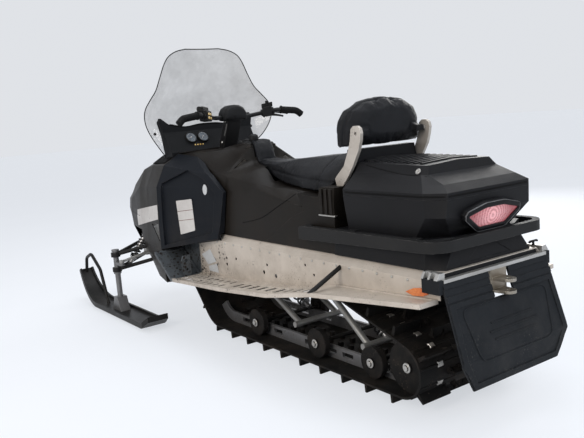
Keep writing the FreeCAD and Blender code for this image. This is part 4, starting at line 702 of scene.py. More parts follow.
class SledSizes(bpy.types.PropertyGroup):
    """Sizes of the dressed pieces"""
    voxel: FloatProperty(name="Cushion mesh",
                         description="Mesh size of the cushions before they are blown up", default=0.006,
                         min=0.003, max=0.02, subtype="DISTANCE", unit="LENGTH")
    seat_swell: FloatProperty(name="Seat swell", description="Furthest that the seat's cover may swell",
                              default=0.012, min=0.0, max=0.03, subtype="DISTANCE", unit="LENGTH")
    back_swell: FloatProperty(name="Backrest swell",
                              description="Furthest that the backrest's cover may swell", default=0.012,
                              min=0.0, max=0.03, subtype="DISTANCE", unit="LENGTH")
    screen_wall: FloatProperty(name="Screen thickness", description="Thickness of the windscreen's sheet",
                               default=0.0032, min=0.001, max=0.006, subtype="DISTANCE", unit="LENGTH")
    grip_radius: FloatProperty(name="Grip radius",
                               description="Radius of the handlebar grips over their ribs", default=0.0185,
                               min=0.012, max=0.024, subtype="DISTANCE", unit="LENGTH")
    coil_turns: IntProperty(name="Spring turns", description="Turns of each suspension spring", default=9,
                            min=4, max=16)


class SledLooks(bpy.types.PropertyGroup):
    """Colours of the dressed pieces"""
    vinyl: FloatVectorProperty(name="Seat vinyl", description="Main colour of the cushions' cover",
                               subtype="COLOR", size=3, min=0.0, max=1.0, default=(0.0068, 0.0074, 0.0092))
    screen: FloatVectorProperty(name="Screen tint", description="Tint of the windscreen", subtype="COLOR",
                                size=3, min=0.0, max=1.0, default=(0.30, 0.29, 0.28))
    tail_lamp: FloatVectorProperty(name="Tail lamp", description="Deep colour of the tail lamp's lens",
                                   subtype="COLOR", size=3, min=0.0, max=1.0, default=(0.30, 0.035, 0.045))
    reflector: FloatVectorProperty(name="Side reflector", description="Deep colour of the side reflectors",
                                   subtype="COLOR", size=3, min=0.0, max=1.0, default=(0.55, 0.10, 0.015))


def sizes():
    """The user's sizes."""
    return bpy.context.scene.sled_sizes


# Stage

# Camera at the photograph's angle: place, its own three directions and its focal length
CAMERA_AT = (-3.046, 1.9622, 1.1025)
CAMERA_RIGHT = (-0.58104, -0.80995, -0.07980)
CAMERA_UP = (0.07229, -0.14902, 0.98619)
CAMERA_BACK = (-0.81066, 0.56725, 0.14514)
CAMERA_LENS = 43.71
FLOOR_HALF = 40.0
# Background that is seen, the one that only lights, the floor's two tones in both ways, and its glow
PALE = (0.745, 0.765, 0.80)
SKY = (0.72, 0.74, 0.78)
FLOOR_LIT = ((0.68, 0.69, 0.71), (0.72, 0.735, 0.76))
FLOOR_SEEN = ((0.29, 0.30, 0.32), (0.31, 0.32, 0.34))
FLOOR_GLOW = (0.58, 0.60, 0.63, 1.0)
# Lights: name, place, size, power, colour, aim
LIGHTS = (("Key", (-1.2, 4.6, 2.6), 2.6, 115.0, (1.0, 0.93, 0.84), (0.1, 0.0, 0.5)),
          ("Fill", (-5.2, -0.4, 3.2), 3.2, 95.0, (0.90, 0.95, 1.0), (-0.6, 0.0, 0.6)),
          ("Top", (0.0, -0.6, 4.6), 3.6, 90.0, (0.95, 0.97, 1.0), (0.0, 0.0, 0.6)),
          ("Far side", (1.8, -4.4, 2.6), 2.8, 90.0, (1.0, 0.98, 0.95), (0.0, 0.0, 0.5)))


def seen_background(tree):
    """1 where a camera, glossy or transmission ray looks, so those rays see the pale background."""
    path = node(tree, "ShaderNodeLightPath").outputs
    seen = larger(tree, path["Is Camera Ray"], path["Is Transmission Ray"])
    return larger(tree, seen, times(tree, path["Is Glossy Ray"], 0.6))


class SledStage(bpy.types.Operator):
    """Pale floor, soft studio light and the camera at the photograph's angle"""
    bl_idname = "sled.stage"
    bl_label = "Stage"

    def execute(self, context):
        scene = context.scene
        lens = bpy.data.cameras.new("Photo camera")
        lens.sensor_width = 36.0
        lens.lens = CAMERA_LENS
        camera = bpy.data.objects.new("Photo camera", lens)
        place_at = Matrix((CAMERA_RIGHT, CAMERA_UP, CAMERA_BACK)).transposed().to_4x4()
        place_at.translation = CAMERA_AT
        camera.matrix_world = place_at
        scene.collection.objects.link(camera)
        scene.camera = camera
        scene.view_settings.view_transform = "Standard"

        world = bpy.data.worlds.new("Studio")
        world.use_nodes = True
        scene.world = world
        tree = world.node_tree
        seen = seen_background(tree)
        sky = tree.nodes["Background"]
        tree.links.new(blended(tree, seen, SKY, PALE), sky.inputs["Color"])
        tree.links.new(span(tree, seen, 0.0, 1.0, 0.62, 1.0), sky.inputs["Strength"])

        for name, at, size, power, colour, aim in LIGHTS:
            light = bpy.data.lights.new(name, "AREA")
            light.shape = "DISK"
            light.size = size
            light.energy = power
            light.color = colour
            lamp = bpy.data.objects.new(name, light)
            lamp.location = at
            lamp.rotation_euler = (Vector(aim) - Vector(at)).to_track_quat("-Z", "Y").to_euler()
            scene.collection.objects.link(lamp)

        mesh = bpy.data.meshes.new("Floor")
        mesh.from_pydata([(x, y, 0.0) for x, y in oblong(FLOOR_HALF, -FLOOR_HALF, FLOOR_HALF)], [],
                         [[0, 1, 2, 3]])
        floor = bpy.data.objects.new("Floor", mesh)
        scene.collection.objects.link(floor)
        tree, shader = base_material("Floor", 0.9, 0.0, 0.2)
        where = object_space(tree)
        patches = noise(tree, where, 1.5, 4.0)
        seen = seen_background(tree)
        plain = blended(tree, patches, *FLOOR_LIT)
        shown = blended(tree, patches, *FLOOR_SEEN)
        tree.links.new(blended(tree, seen, plain, shown), shader.inputs["Base Color"])
        shader.inputs["Emission Color"].default_value = FLOOR_GLOW
        tree.links.new(seen, shader.inputs["Emission Strength"])
        mesh.materials.append(FINISHES["Floor"])
        return {"FINISHED"}


class SledFinishes(bpy.types.Operator):
    """Shader groups, every finish, and the finish of each solid that stays"""
    bl_idname = "sled.finishes"
    bl_label = "Finishes"

    def execute(self, context):
        make_finishes()
        return {"FINISHED"}


# Cushions: the frames that the cover's cloth is run for
CLOTH_STEPS = 20
# Seams: a place in the seam's plane, the direction across it, the half width of the cushion's middle that
# it leaves out, the dip's half width and its depth. The seat's seams run along each side, across its front
# half and across the passenger's place, the backrest's where its rear cover starts, and the pad's round its
# front and rear faces
SEAT_SEAMS = (((-0.378, 0.0, 0.844), (-0.065, 0.0, 1.0), 0.1, 0.005, 0.0055),
              ((-0.420, 0.0, 0.880), (1.0, 0.0, 0.30), 0.0, 0.0045, 0.005),
              ((-0.735, 0.0, 0.910), (1.0, 0.0, 0.25), 0.0, 0.0045, 0.005))
BACK_SEAMS = (((-0.925, 0.0, 1.050), (1.0, 0.0, 0.15), 0.0, 0.005, 0.006),)
PAD_SEAMS = tuple(((x, 0.0, 0.0), FORWARD, 0.0, 0.0025, 0.0022) for x in (0.196, 0.262))


def blown(name, solid, body, swell, voxel, rounding, seams):
    """Cushion: the solid's copy drawn in by half the swell, remeshed, rounded, blown up as cloth with
    the swell as its cap, and pressed in by d exp(-(s / w)^2) at a distance s from each seam's plane."""
    made = bpy.data.objects.new(name, NODES[solid].data.copy())
    bpy.context.scene.collection.objects.link(made)
    bpy.context.view_layer.objects.active = made
    work = bmesh.new()
    work.from_mesh(made.data)
    bmesh.ops.remove_doubles(work, verts=work.verts, dist=1e-5)
    work.to_mesh(made.data)
    work.free()
    remesh = made.modifiers.new("Even mesh", "REMESH")
    remesh.mode = "VOXEL"
    remesh.voxel_size = voxel
    ease = made.modifiers.new("Round", "SMOOTH")
    ease.factor = 0.5
    ease.iterations = rounding
    settle(made)
    drawn_in = points_of(made) - normals_of(made) * swell / 2
    put_points(made, drawn_in)
    cloth = made.modifiers.new("Air", "CLOTH")
    cloth.settings.quality = 4
    cloth.settings.mass = 0.3
    cloth.settings.use_pressure = True
    cloth.settings.uniform_pressure_force = 4.0
    cloth.settings.effector_weights.gravity = 0.0
    cloth.settings.tension_stiffness = 12.0
    cloth.settings.compression_stiffness = 12.0
    cloth.settings.bending_stiffness = 0.6
    scene = bpy.context.scene
    for step in range(CLOTH_STEPS):
        scene.frame_set(step + 1)
    graph = bpy.context.evaluated_depsgraph_get()
    swollen = made.evaluated_get(graph).data
    moved = np.zeros(len(swollen.vertices) * 3, np.float32)
    swollen.vertices.foreach_get("co", moved)
    move = moved.reshape(-1, 3).astype(float) - drawn_in
    length = np.linalg.norm(move, axis=1)[:, None]
    made.modifiers.remove(cloth)
    scene.frame_set(1)
    put_points(made, drawn_in + move * np.minimum(1.0, swell / np.maximum(length, 1e-9)))
    points = points_of(made)
    inwards = normals_of(made)
    for at, across, clear, width, depth in seams:
        distance = (points - at) @ across + (np.abs(points[:, 1]) < clear)
        press = depth * np.exp(-(distance / width) ** 2)
        points = points - inwards * press[:, None]
    put_points(made, points)
    finer = made.modifiers.new("Finer", "SUBSURF")
    finer.levels = 1
    finer.render_levels = 1
    made.data.materials.clear()
    made.data.materials.append(FINISHES[SLOT_OF[solid]])
    shade(made, 80.0)
    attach(made, body)
    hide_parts(solid)
    return made


def settle(made):
    """Applies the object's modifiers to its mesh."""
    graph = bpy.context.evaluated_depsgraph_get()
    mesh = bpy.data.meshes.new_from_object(made.evaluated_get(graph))
    made.modifiers.clear()
    made.data = mesh


def points_of(made):
    """Vertex places as an array."""
    flat = np.zeros(len(made.data.vertices) * 3, np.float32)
    made.data.vertices.foreach_get("co", flat)
    return flat.reshape(-1, 3).astype(float)


def put_points(made, points):
    """Writes vertex places back."""
    made.data.vertices.foreach_set("co", points.astype(np.float32).ravel())
    made.data.update()


def normals_of(made):
    """Vertex normals as an array."""
    flat = np.zeros(len(made.data.vertices) * 3, np.float32)
    made.data.vertex_normals.foreach_get("vector", flat)
    return flat.reshape(-1, 3).astype(float)


class SledSeat(bpy.types.Operator):
    """Two-up seat cushion with its sewn lines"""
    bl_idname = "sled.seat"
    bl_label = "Seat"

    def execute(self, context):
        low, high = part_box("seat")
        made = blown("seat_cushion", "seat", "chassis", sizes().seat_swell, sizes().voxel, 5, SEAT_SEAMS)
        keep_inside(made, low, high, 0.004)
        return {"FINISHED"}


def keep_inside(made, low, high, spare):
    """Holds the cushion's points inside its solid's box grown by a spare distance."""
    points = points_of(made)
    put_points(made, np.clip(points, np.array(low) - spare, np.array(high) + spare))


class SledBackrest(bpy.types.Operator):
    """Padded backrest with the line of its rear cover"""
    bl_idname = "sled.backrest"
    bl_label = "Backrest"

    def execute(self, context):
        made = blown("backrest_cushion", "backrest", "chassis", sizes().back_swell, 0.005, 6, BACK_SEAMS)
        return {"FINISHED"}


# Screen: z, half width, x at the side edges, x at the middle
SCREEN = ((0.915, 0.250, 0.552, 0.694), (0.985, 0.322, 0.492, 0.689), (1.040, 0.366, 0.468, 0.682),
          (1.095, 0.394, 0.458, 0.674), (1.145, 0.401, 0.457, 0.660), (1.190, 0.388, 0.462, 0.640),
          (1.238, 0.350, 0.472, 0.613), (1.285, 0.310, 0.480, 0.587), (1.352, 0.277, 0.484, 0.556),
          (1.420, 0.246, 0.482, 0.534), (1.462, 0.214, 0.481, 0.520), (1.488, 0.165, 0.486, 0.513),
          (1.501, 0.104, 0.495, 0.509))
# Its foot from above, steps of y and x
SCREEN_FOOT = ((0.0, 0.25, 0.4), (0.690, 0.552, 0.46))
# Rows and columns of its grid, and the ones where a screw sits
SCREEN_STEPS = (84, 57)
SCREEN_SCREWS = ((9, 9), (7, 20), (7, 36), (9, 47), (16, 5), (16, 51))


def screen_grid(rows, columns):
    """Screen sheet: at height z and share s across, y = s w(z) and x = m - R + sqrt(R^2 - y^2), where the
    circle goes through the side edges and the middle. Points under the hood rise to its surface."""
    table = eased(SCREEN, rows)
    share = np.linspace(-1, 1, columns)
    foot_y, foot_z = hood_height()
    z = np.repeat(table[:, :1], columns, axis=1)
    for _ in range(3):
        half, edge, middle = (np.interp(z, table[:, 0], table[:, k]) for k in (1, 2, 3))
        drop = middle - edge
        radius = (half ** 2 + drop ** 2) / (2 * drop)
        y = share * half
        x = middle - radius + np.sqrt(np.maximum(radius ** 2 - y ** 2, 0))
        z = np.maximum(z, np.interp(np.abs(y), foot_y, foot_z))
    return np.stack([x, y, z], -1)


def hood_height():
    """Height of the hood's surface under the screen's foot, at steps of y: two rows, y and z."""
    tree = surface_of("hood")
    y = np.linspace(0.0, 0.4, 21)
    foot = np.interp(y, *SCREEN_FOOT)
    hits = [tree.ray_cast(Vector((a, b, 1.4)), Vector((0, 0, -1)))[0] for a, b in zip(foot, y)]
    return y, np.array([0.9 if hit is None else hit.z + 0.001 for hit in hits])


class SledScreen(bpy.types.Operator):
    """Windscreen sheet with its dark edge, foot seal and screws"""
    bl_idname = "sled.screen"
    bl_label = "Screen"

    def execute(self, context):
        grid = screen_grid(*SCREEN_STEPS)
        wall = sizes().screen_wall
        across = np.gradient(grid, axis=1)
        along = np.gradient(grid, axis=0)
        out = np.cross(across, along)
        out /= np.maximum(np.linalg.norm(out, axis=2), 1e-9)[:, :, None]
        back = grid - np.where(out[:, :, :1] > 0, 1.0, -1.0) * out * wall
        piece("screen_sheet", thickened(grid, back), "screen", ("windshield",), 60.0)
        outline = np.concatenate([grid[2:, 0], grid[-1, 1:-1], grid[:1:-1, -1]])
        piece("screen_edge", swept(outline - np.array([0.0016, 0, 0]), 0.0027, 8, FORWARD), "seam_dark")
        foot = grid[1] + np.array([-0.002, 0, 0.003])
        piece("screen_foot_seal", swept(foot, 0.0065, 10), "seam_dark")
        screws = [screw(grid[row, column] + np.array([-wall - 0.0005, 0, 0]), (-1, 0, 0.25), 0.0085)
                  for row, column in SCREEN_SCREWS]
        piece("screen_screws", joined(screws), "control_black", smooth=40.0)
        return {"FINISHED"}


# Left half of the bar from its tip inwards
BAR = np.array(((0.122, 0.372, 1.102), (0.128, 0.346, 1.124), (0.150, 0.235, 1.137), (0.228, 0.110, 1.116)))
# Left switch block: its middle, the bar's direction there and the direction of its face
SWITCH_AT = np.array((0.1785, 0.190, 1.1295))
ALONG_BAR = np.array((-0.526, 0.838, 0.142))
SWITCH_FACE = np.array((-0.847, -0.531, 0.0))
# Grips: pitch and depth of the ribs, length and radius of the flange, length and radius of the round end
GRIP_RIBS = (0.0062, 0.0011)
GRIP_FLANGE = (0.005, 0.0215)
GRIP_END = (0.006, 0.0195)


class SledBars(bpy.types.Operator):
    """Ribbed grips, switch and throttle blocks with their levers, and the padded cover"""
    bl_idname = "sled.bars"
    bl_label = "Handlebar fittings"

    def execute(self, context):
        start = BAR[1] + (BAR[2] - BAR[1]) * 0.83
        tip = BAR[0] + unit(BAR[0] - BAR[1]) * 0.006
        path, at = evenly(bent([start, BAR[1], tip], 0.014), 150)
        left = at[-1] - at
        (pitch, groove), (flange, wide), (end, full) = GRIP_RIBS, GRIP_FLANGE, GRIP_END
        radius = sizes().grip_radius - groove * (0.5 - 0.5 * np.cos(2 * np.pi * at / pitch)) ** 2
        radius = np.where(at < flange, wide, radius)
        radius = np.where(left < end, full * np.sqrt(np.clip(left / end, 0.12, 1.0)), radius)
        piece("bar_grips", twin(swept(path, radius, 24)), "grip_rubber", ("grips",), 50.0,
              body="steering")

        middle, along, face = SWITCH_AT, ALONG_BAR, SWITCH_FACE
        body = rounded(oblong(0.026, -0.027, 0.024), 0.008)
        block = slab(body, 0.046, middle - face * 0.024, UP, along)
        clamp = turned([(0.0185, -0.036), (0.0185, 0.036)], middle, along, 20)
        tank = slab(rounded(oblong(0.013, -0.03, 0.03), 0.005), 0.034,
                    middle - face * 0.03 + UP * 0.034, UP, along)
        lever = evenly(bent([(0.212, 0.176, 1.137), (0.226, 0.204, 1.134), (0.205, 0.262, 1.124),
                             (0.180, 0.326, 1.112)], 0.014), 44)
        width = np.interp(lever[1] / lever[1][-1], (0, 0.2, 0.9, 0.96, 1),
                          (0.0062, 0.0052, 0.0042, 0.0062, 0.003))
        both_sides = twin(joined([block, clamp, tank, swept(lever[0], width, 10)]))
        piece("bar_blocks", both_sides, "control_black", ("bar_controls",), 35.0, 0.0012,
              body="steering")

        square = rounded(oblong(0.0058, -0.0058, 0.0058), 0.002, 4)
        buttons = [domed(square, 0.0022, 0.0012, middle + face * 0.022 + UP * a + along * b, UP, along, 4)
                   for a in (-0.0095, 0.0095) for b in (-0.0125, 0.0060)]
        piece("bar_buttons", joined(buttons), "button_amber", smooth=50.0, body="steering")
        turn = circling(40)[0]
        hoop = middle + along * 0.052 + UP * 0.026 + np.cos(turn) * along * 0.03 + np.sin(turn) * UP * 0.015
        stay = swept([middle + along * 0.02 + UP * 0.012, middle + along * 0.036 + UP * 0.018], 0.0035, 8)
        piece("bar_guard", joined([looped(hoop, 0.0024, 8, face), stay]), "control_black",
              smooth=60.0, body="steering")
        right = middle * FLIP
        knob = turned([(0.007, 0.0), (0.007, 0.012), (0.0095, 0.014), (0.0095, 0.022), (0.007, 0.025),
                       (0.0, 0.025)], right + UP * 0.034, UP, 18)
        thumb = evenly(bent([right + np.array([-0.01, -0.012, -0.016]),
                             right + np.array([-0.05, -0.03, -0.022]),
                             right + np.array([-0.062, -0.058, -0.03])], 0.01), 20)
        piece("bar_throttle", joined([knob, swept(thumb[0], np.linspace(0.0075, 0.005, 20), 10)]),
              "control_black", smooth=50.0, body="steering")
        strip = rounded(oblong(0.0045, -0.036, 0.036), 0.003, 4)
        lean = np.array([0.52, 0.0, -0.854])
        piece("riser_strip", twin(slab(strip, 0.0015, (0.248, 0.0402, 1.05), np.cross((0, 1, 0), lean),
                                       lean)), "zinc", smooth=40.0, body="steering")
        bolts = [screw((x, y, 1.1505), UP, 0.0065) for x in (0.213, 0.247) for y in (-0.026, 0.026)]
        sides = [screw((x, side * 0.0405, z), (0, side, 0), 0.0075) for side in SIDES
                 for x, z in ((0.243, 1.096), (0.296, 0.985))]
        piece("riser_bolts", joined(bolts + sides), "zinc", smooth=40.0, body="steering")

        made = blown("bar_pad_cushion", "bar_pad", "steering", 0.004, 0.0035, 4, PAD_SEAMS)
        return {"FINISHED"}


# Dash face's foot and top in the middle plane, and the instruments' share of the way up it
GAUGE_FOOT = np.array((0.440, 0.0, 0.950))
GAUGE_TOP = np.array((0.505, 0.0, 1.060))
GAUGE_SHARE = 0.64
# Instruments: y, and the needle's angle in degrees; then the steps of a scale and the degrees that it covers
GAUGES = ((0.055, 220.0), (0.130, 250.0))
TICKS = 24
DIAL_SWEEP = 270


class SledGauges(bpy.types.Operator):
    """Two round instruments with bezels, scales and needles, the row of lamps and the dash's lip"""
    bl_idname = "sled.gauges"
    bl_label = "Instruments"

    def execute(self, context):
        up = unit(GAUGE_TOP - GAUGE_FOOT)
        out = np.array([-up[2], 0.0, up[0]])
        across = np.cross(up, out)
        centre = GAUGE_FOOT + (GAUGE_TOP - GAUGE_FOOT) * GAUGE_SHARE
        rims, faces, marks = [], [], []
        for y, reading in GAUGES:
            at = centre + np.array([0, y, 0])
            rims.append(turned([(0.0345, -0.002), (0.0345, 0.009), (0.032, 0.0125), (0.0295, 0.0125),
                                (0.0285, 0.008), (0.0, 0.008)], at, out, 40))
            faces.append(turned([(0.0282, 0.008), (0.0282, 0.0088), (0.0, 0.0088)], at, out, 40))
            for step in range(TICKS + 1):
                angle = math.radians(DIAL_SWEEP * (step / TICKS - 0.5))
                way = math.cos(angle) * up + math.sin(angle) * across
                marks.append(slab(oblong(0.0004, 0.0, 0.003 if step % 4 else 0.0055), 0.0005,
                                  at + out * 0.0088 + way * 0.0205, np.cross(way, out), way))
            angle = math.radians(reading)
            way = math.cos(angle) * up + math.sin(angle) * across
            marks.append(slab([(-0.0012, -0.005), (0.0012, -0.005), (0.0004, 0.022), (-0.0004, 0.022)],
                              0.0008, at + out * 0.0095, np.cross(way, out), way))
            marks.append(turned([(0.003, 0.0), (0.003, 0.0016), (0.0, 0.002)], at + out * 0.0092, out, 12))
        piece("gauge_bezels", joined(rims), "control_black", ("gauges",), 40.0)
        piece("gauge_dials", joined(faces), "gauge_face", smooth=40.0)
        piece("gauge_marks", joined(marks), "plate_white", smooth=0.0)
        low = centre + np.array([0, 0.0925, 0]) - up * 0.045
        lamps = [domed(circle(0.0045, 12), 0.001, 0.002, low + across * k * 0.016, across,
                       np.cross(out, across), 4) for k in (-1.5, -0.5, 0.5, 1.5)]
        piece("dash_lamps", joined(lamps), "button_amber", smooth=60.0)
        lip = np.array([(0.512, y, z + 0.003) for y, z in ((-0.234, 1.098), (-0.142, 1.079), (-0.05, 1.088),
                                                           (0.05, 1.088), (0.142, 1.079), (0.234, 1.098))])
        piece("dash_lip", swept(eased(lip, 50), 0.005, 10, FORWARD), "seam_dark",
              smooth=60.0)
        return {"FINISHED"}


# Tail lamp: corners (y, z) of its left half, its middle's place, and how far its face leans back in a metre
LAMP_OUTLINE = ((0.050, 0.741), (0.141, 0.719), (0.072, 0.669))
LAMP_AT = (-1.455, 0.0, 0.705)
LAMP_SLOPE = 0.2533
# Left headlight's corners: y, z
HEADLIGHT = ((0.040, 0.625), (0.172, 0.632), (0.160, 0.690), (0.048, 0.702))


class SledLamps(bpy.types.Operator):
    """Tail lamp with its rings and bezel, and the two headlights"""
    bl_idname = "sled.lamps"
    bl_label = "Lamps"

    def execute(self, context):
        rise = (-LAMP_SLOPE, 0.0, 1.0)
        right = np.array([0.0, -1.0, 0.0])
        half = [(y, z - LAMP_AT[2]) for y, z in LAMP_OUTLINE]
        outline = rounded([(-y, z) for y, z in half] + [(y, z) for y, z in reversed(half)], 0.007, 5)
        inner = outline * 0.93
        lens = domed(inner, 0.003, 0.006, LAMP_AT, right, rise, 10)
        piece("tail_lens", lens, "lamp_red", ("tail_light",), 60.0)
        ribs = [framed(inner * share, oblong(0.0012, 0.0, height), LAMP_AT, right, rise)
                for share, height in ((0.80, 0.0062), (0.58, 0.0080), (0.36, 0.0094))]
        piece("tail_lens_rings", joined(ribs), "lamp_red", smooth=40.0)
        bezel = framed(inner, [(0.001, 0.0), (0.001, 0.0065), (0.005, 0.0085), (0.016, 0.004),
                               (0.019, -0.003), (0.019, -0.02), (0.001, -0.02)], LAMP_AT, right, rise)
        piece("tail_bezel", bezel, "moulding_black", smooth=30.0)
        line = framed(inner, [(0.0170, 0.0030), (0.0170, 0.0046), (0.0180, 0.0046), (0.0180, -0.001)],
                      LAMP_AT, right, rise)
        piece("tail_bezel_line", line, "rail_alloy", smooth=30.0)

        out = rounded(HEADLIGHT, 0.008, 5)
        left = (0, 1, 0)
        dish = slab(out, 0.003, (1.2502, 0, 0), left, UP)
        bowls = [turned([(0.0235, 0.0), (0.0235, 0.0035), (0.021, 0.0035), (0.012, 0.001), (0.006, 0.001),
                         (0.006, 0.0045), (0.0, 0.005)], (1.2530, y, 0.662), (1, 0, 0), 28)
                 for y in (0.076, 0.130)]
        piece("headlight_bowls", twin(joined([dish] + bowls)), "mirror_bowl",
              ("headlights",), 40.0)
        piece("headlight_lenses", twin(domed(out, 0.004, 0.003, (1.2575, 0, 0), left, UP, 6)), "lamp_clear",
              smooth=60.0)
        rim = framed(out, [(0.0, 0.0), (0.0, 0.0125), (0.006, 0.0105), (0.009, 0.0)], (1.2500, 0, 0), left,
                     UP)
        piece("headlight_rims", twin(rim), "moulding_black", smooth=30.0)
        return {"FINISHED"}


# Rear dampers: top, foot, radius of the spring's envelope
REAR_DAMPERS = (((0.005, 0.0, 0.345), (-0.330, 0.0, 0.176), 0.0295),
                ((-0.560, 0.0, 0.402), (-0.880, 0.0, 0.132), 0.0295))
# Left front damper in the same order, then the length of a damper's eye beyond its spring
FRONT_DAMPER = ((0.9345, 0.236, 0.493), (0.9590, 0.366, 0.3035), 0.0255)
DAMPER_END = 0.040


def damper(top, foot, reach):
    """Damper turned round its axis: eye boss, body, rod and the two spring seats."""
    top, foot = np.array(top), np.array(foot)
    length = np.linalg.norm(foot - top)
    end, far, seat = DAMPER_END, length - DAMPER_END, reach * 0.86
    profile = [(0.011, 0.0), (0.011, end - 0.012), (seat, end - 0.009), (seat, end - 0.003), (0.018, end),
               (0.018, length * 0.58), (0.0165, length * 0.585), (0.008, length * 0.59), (0.008, far),
               (seat, far + 0.003), (seat, far + 0.008), (0.012, far + 0.012), (0.011, length)]
    return turned(profile, top, foot - top, 24)


def coil(top, foot, reach, wire, turns, steps=20):
    """Spring wire: c(t) + (R - w)(cos 2 pi n t u + sin 2 pi n t v), with closed ends of no pitch."""
    top, foot = np.array(top), np.array(foot)
    length = np.linalg.norm(foot - top)
    axis = (foot - top) / length
    u = unit(np.cross(axis, (0.0, 1.0, 0.0)))
    v = np.cross(axis, u)
    t = np.linspace(0, 1, turns * steps)
    rise = np.clip((t - 0.08) / 0.84, 0, 1)
    height = DAMPER_END + wire + (length - 2 * (DAMPER_END + wire)) * rise
    angle = (2 * np.pi * turns * t)[:, None]
    path = top + height[:, None] * axis + (reach - wire) * (np.cos(angle) * u + np.sin(angle) * v)
    return swept(path, wire, 8, axis)


class SledDampers(bpy.types.Operator):
    """Suspension dampers with real coil springs"""
    bl_idname = "sled.dampers"
    bl_label = "Dampers and springs"

    def execute(self, context):
        turns = sizes().coil_turns
        rear = [damper(*row) for row in REAR_DAMPERS]
        front = damper(*FRONT_DAMPER)
        piece("rear_dampers", joined(rear), "shock_steel", ("rear_shocks",), 40.0)
        piece("front_dampers", twin(front), "shock_steel", ("front_shocks",), 40.0)
        rear = [coil(*row, 0.0045, turns) for row in REAR_DAMPERS]
        piece("rear_springs", joined(rear), "black_steel", smooth=60.0)
        piece("front_springs", twin(coil(*FRONT_DAMPER, 0.004, turns)), "black_steel",
              smooth=60.0)
        return {"FINISHED"}


# Track loop's round guides, counter-clockwise: x, z, radius; then the belt's thickness and the lugs' count
LOOP = np.array(((-1.210, 0.146, 0.100), (0.130, 0.196, 0.150), (0.370, 0.385, 0.095),
                 (-0.560, 0.402, 0.058)))
BELT = 0.008
LUG_COUNT = 54


def on_loop(distance):
    """Point and outward normal at distances round the belt's outside, and its whole length: along each arc
    c + (r + b)(cos a, sin a), and along each straight run between the arcs, where the normal keeps its
    angle."""
    centre, radius = LOOP[:, :2], LOOP[:, 2] + BELT
    ahead = np.roll(centre, -1, 0) - centre
    length = np.linalg.norm(ahead, axis=1)
    way = ahead / length[:, None]
    lean = (radius - np.roll(radius, -1)) / length
    right = np.sqrt(1 - lean ** 2)
    normal = np.stack([way[:, 0] * lean + way[:, 1] * right, way[:, 1] * lean - way[:, 0] * right], -1)
    leave = np.arctan2(normal[:, 1], normal[:, 0])
    enter = np.roll(leave, 1)
    arc = (leave - enter) % (2 * np.pi)
    run = length * right
    starts = np.concatenate([[0.0], np.cumsum(np.stack([arc * radius, run], -1).ravel())])
    distance = np.asarray(distance, float) % starts[-1]
    part = np.clip(np.searchsorted(starts, distance, side="right") - 1, 0, 2 * len(LOOP) - 1)
    wheel, straight = part // 2, part % 2 == 1
    inside = distance - starts[part]
    angle = np.where(straight, leave[wheel], enter[wheel] + inside / radius[wheel])
    n = np.stack([np.cos(angle), np.sin(angle)], -1)
    along = np.stack([-n[:, 1], n[:, 0]], -1)
    point = centre[wheel] + radius[wheel][:, None] * n + np.where(straight, inside, 0.0)[:, None] * along
    return point, n, starts[-1]


def round_track(shape, share, offset=0.0):
    """Copies of a shape round the track, one for each lug and a share of a step on from it: its (a, b, h)
    goes to p + a t + h n in x and z, and b in y."""
    points, faces = shape
    total = on_loop([0.0])[2]
    where, n, _ = on_loop((np.arange(LUG_COUNT) + share) * total / LUG_COUNT)
    where = where + n * offset
    t = np.stack([-n[:, 1], n[:, 0]], -1)
    a, b, h = points.T
    flat = where[:, None] + a[None, :, None] * t[:, None] + h[None, :, None] * n[:, None]
    placed = np.stack([flat[:, :, 0], np.broadcast_to(b, flat.shape[:2]), flat[:, :, 1]], -1).reshape(-1, 3)
    return placed, [[i + k * len(points) for i in face] for k in range(LUG_COUNT) for face in faces]


def bar_shape(a, y0, y1, h0, h1, top):
    """Straight bar in (along, across, out), narrower by a share at its top."""
    narrow = (1 - top) * a
    low = [(p, q, h0) for p, q in oblong(a, y0, y1)]
    high = [(p, q, h1) for p, q in oblong(a * top, y0 + narrow, y1 - narrow)]
    return np.array(low + high), [[3, 2, 1, 0], [4, 5, 6, 7], [0, 1, 5, 4], [1, 2, 6, 5], [2, 3, 7, 6],
                                  [3, 0, 4, 7]]


def side_bars(a, places, half, low, high, top, share, offset=0.0):
    """Bars of one kind round the track, at each y of a table and its mirror."""
    return twin(joined([round_track(bar_shape(a, y - half, y + half, low, high, top), share, offset)
                        for y in places]))


# Idler wheels on each side: x, z, radius, y of the inner face; then the spokes of a wheel
WHEELS = ((-1.210, 0.146, 0.0997, 0.195), (-1.000, 0.111, 0.0647, 0.190), (-0.640, 0.111, 0.0647, 0.190),
          (-0.160, 0.111, 0.0647, 0.190))
SPOKES = 6


